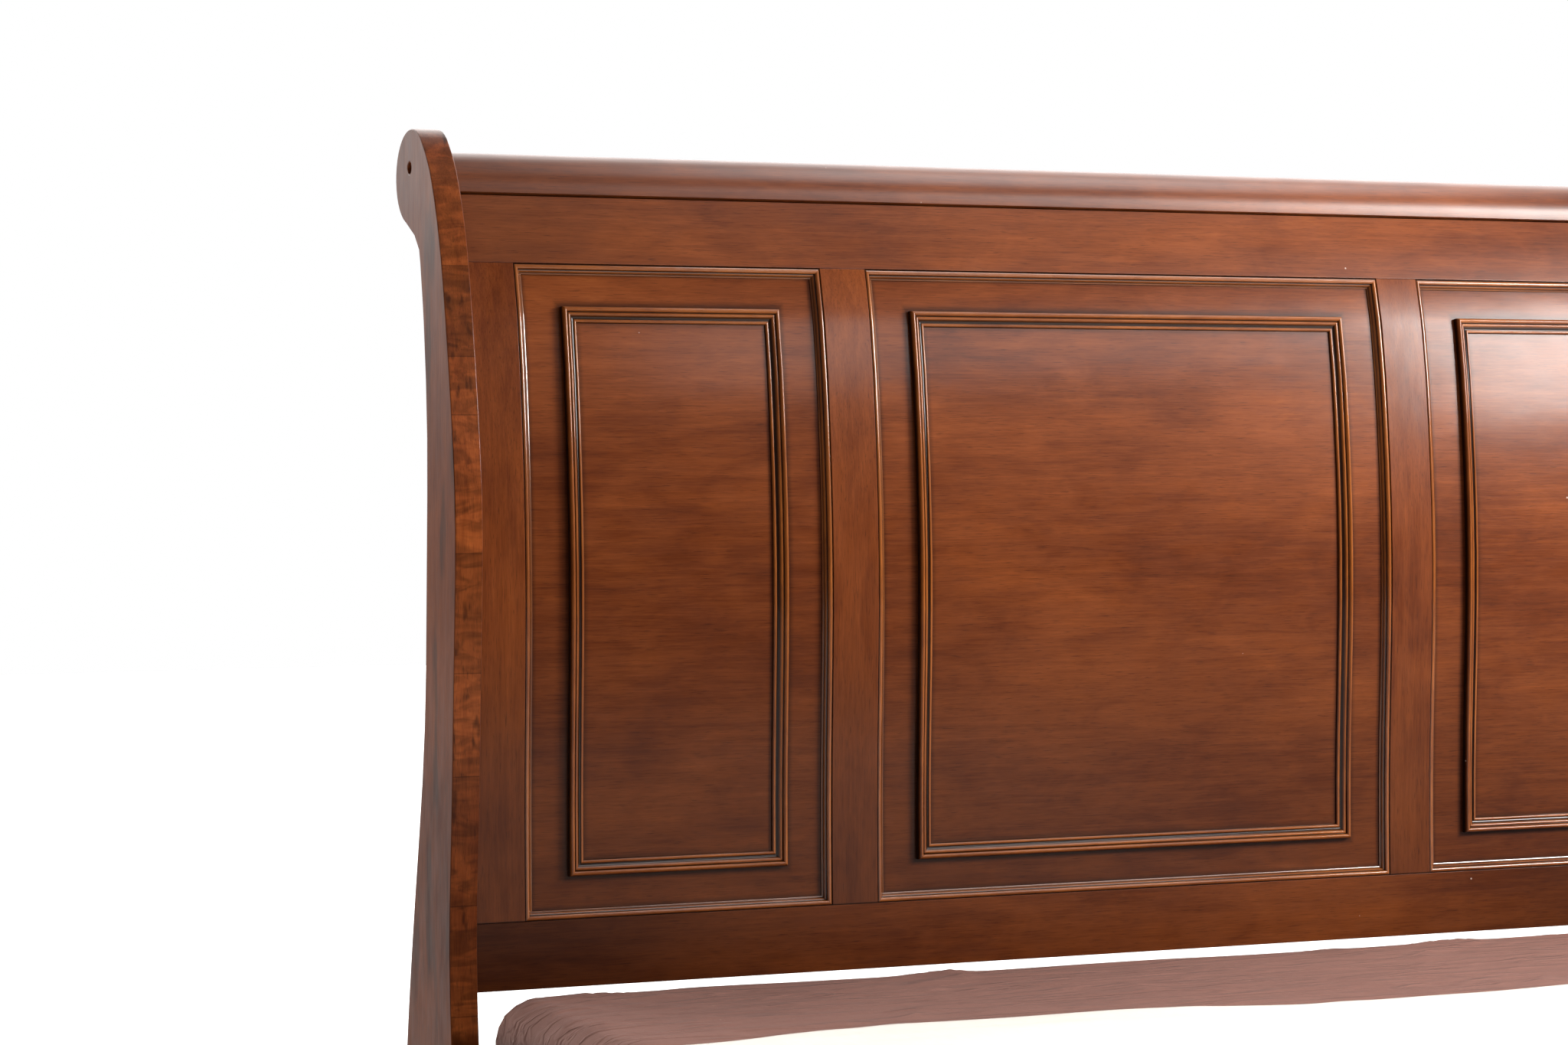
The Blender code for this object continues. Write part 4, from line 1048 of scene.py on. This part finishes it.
def cloth(name, stops, pitch, sheen, lint=None, soft=0.85, creased=0.0, shaded_below=None):
    """Woven cloth: crossed threads, uneven dye, sheen, small creases and specks of lint.

    Below the given height it is darker: painted shade on the cloth's hanging sides.
    """
    g = Graph(name)
    x, y, z = g.object_place()
    place = g.combine(x, y, z)
    turns = 2.0 * math.pi / pitch
    threads = [g.math("SINE", g.math("MULTIPLY", axis, turns)) for axis in (x, y, z)]
    weave = g.math("ADD", g.math("ADD", threads[0], threads[1]), threads[2])
    slub = g.noise(g.scaled(place, (260.0, 30.0, 60.0)), 1.0, 2.0, 0.6)
    slub_across = g.noise(g.scaled(place, (30.0, 260.0, 260.0)), 1.0, 2.0, 0.6)
    cloud = g.noise(place, 5.0, 3.0)
    value = g.math("ADD", g.math("MULTIPLY", cloud, 0.5), g.math("MULTIPLY", slub, 0.25))
    value = g.math("ADD", value, g.math("MULTIPLY", slub_across, 0.25))
    colour = g.ramp(value, stops)
    if lint is not None:
        specks = g.node("ShaderNodeTexVoronoi", feature="F1")
        g.link(g.scaled(place, (1.0, 1.7, 1.0)), specks.inputs["Vector"])
        specks.inputs["Scale"].default_value = 34.0
        speck = g.band(specks.outputs["Distance"], 0.025, 0.04, 0.6, 0.0)
        colour = g.mix(speck, colour, lint)
    if shaded_below is not None:
        # Painted shade on the hanging sides.
        factor = g.band(z, shaded_below - 0.045, shaded_below, 0.42, 1.0)
        colour = g.mix(1.0, colour, g.combine(factor, factor, factor), "MULTIPLY")
    g.set("Base Color", colour)
    g.set("Roughness", soft)
    g.set("Specular IOR Level", 0.2)
    g.set("Sheen Weight", sheen)
    g.set("Sheen Roughness", 0.45)
    height = g.math("ADD", g.math("MULTIPLY", weave, 0.16), slub)
    normal = None
    if creased:
        ridge = g.noise(g.scaled(place, (5.0, 42.0, 30.0)), 1.0, 2.0, 0.55, 0.5)
        ridge = g.math("ABSOLUTE", g.math("SUBTRACT", ridge, 0.5))
        normal = g.bump(g.band(ridge, 0.0, 0.10, 1.0, 0.0), 3.0 * MM, creased)
    g.set("Normal", g.bump(height, 0.25 * MM, 0.5, normal))
    return g.material


def add_bedding():
    mattress = make_mattress()
    ticking = ((0.3, (0.62, 0.60, 0.55)), (0.7, (0.74, 0.72, 0.68)))
    mattress.data.materials.append(cloth("ticking", ticking, 1.4 * MM, 0.1))
    sheet, sheet_width, sheet_length = make_sheet(mattress)
    brown = ((0.3, (0.196, 0.093, 0.073)), (0.7, (0.248, 0.121, 0.095)))
    # The sheet's hanging sides are darkened with painted shade.
    sheet.data.materials.append(cloth("brown_sheet", brown, 0.7 * MM, 0.04, lint=(0.50, 0.36, 0.30),
                                      soft=0.8, creased=0.7, shaded_below=BED_HIGH.z - 0.006))
    cover, cover_width, cover_length = make_cover(sheet)
    cream = ((0.3, (0.80, 0.74, 0.67)), (0.7, (0.86, 0.82, 0.76)))
    cover.data.materials.append(cloth("cream_cover", cream, 1.2 * MM, 0.15))
    finer = cover.modifiers.new("finer", "SUBSURF")
    finer.levels = finer.render_levels = 1
    for piece, thick in ((sheet, SHEET_THICK), (cover, COVER_THICK)):
        solid = piece.modifiers.new("thick", "SOLIDIFY")
        solid.thickness = thick
        solid.offset = 1.0
    for piece, node in ((mattress, "mattress"), (sheet, "fitted_sheet"), (cover, "coverlet")):
        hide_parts(node)
        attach(piece, "bedding")


def add_base_finishes():
    """Finishes of the slats, the centre support and the metal and plastic parts."""
    slats = pine("pine_slats", "X", SLAT_TOP - 1.2 * MM)
    finish_node("slat_roll", slats, 1.0 * MM)
    finish_node("cross_beam", pine("pine_beam", "X"), 1.0 * MM)
    finish_node("centre_leg", pine("pine_leg", "Z"), 1.0 * MM)
    runner = pine("pine_cleat", "Y")
    zinc = steel("zinc")
    for side in ("left", "right"):
        finish_node(f"cleat_{side}", runner, 1.0 * MM)
        for board in BOARDS:
            for part in ("bolt", "strike_plate", "hook_plate"):
                finish_node(f"{board}_{part}_{side}", zinc, 0.3 * MM)
    finish_node("levelling_stud", zinc, 0.25 * MM)
    finish_node("levelling_pad", black_plastic("pad_plastic"), 0.5 * MM, 3)


add_camera()
add_studio()
add_finishes()
add_base_finishes()
add_trims()
add_bedding()
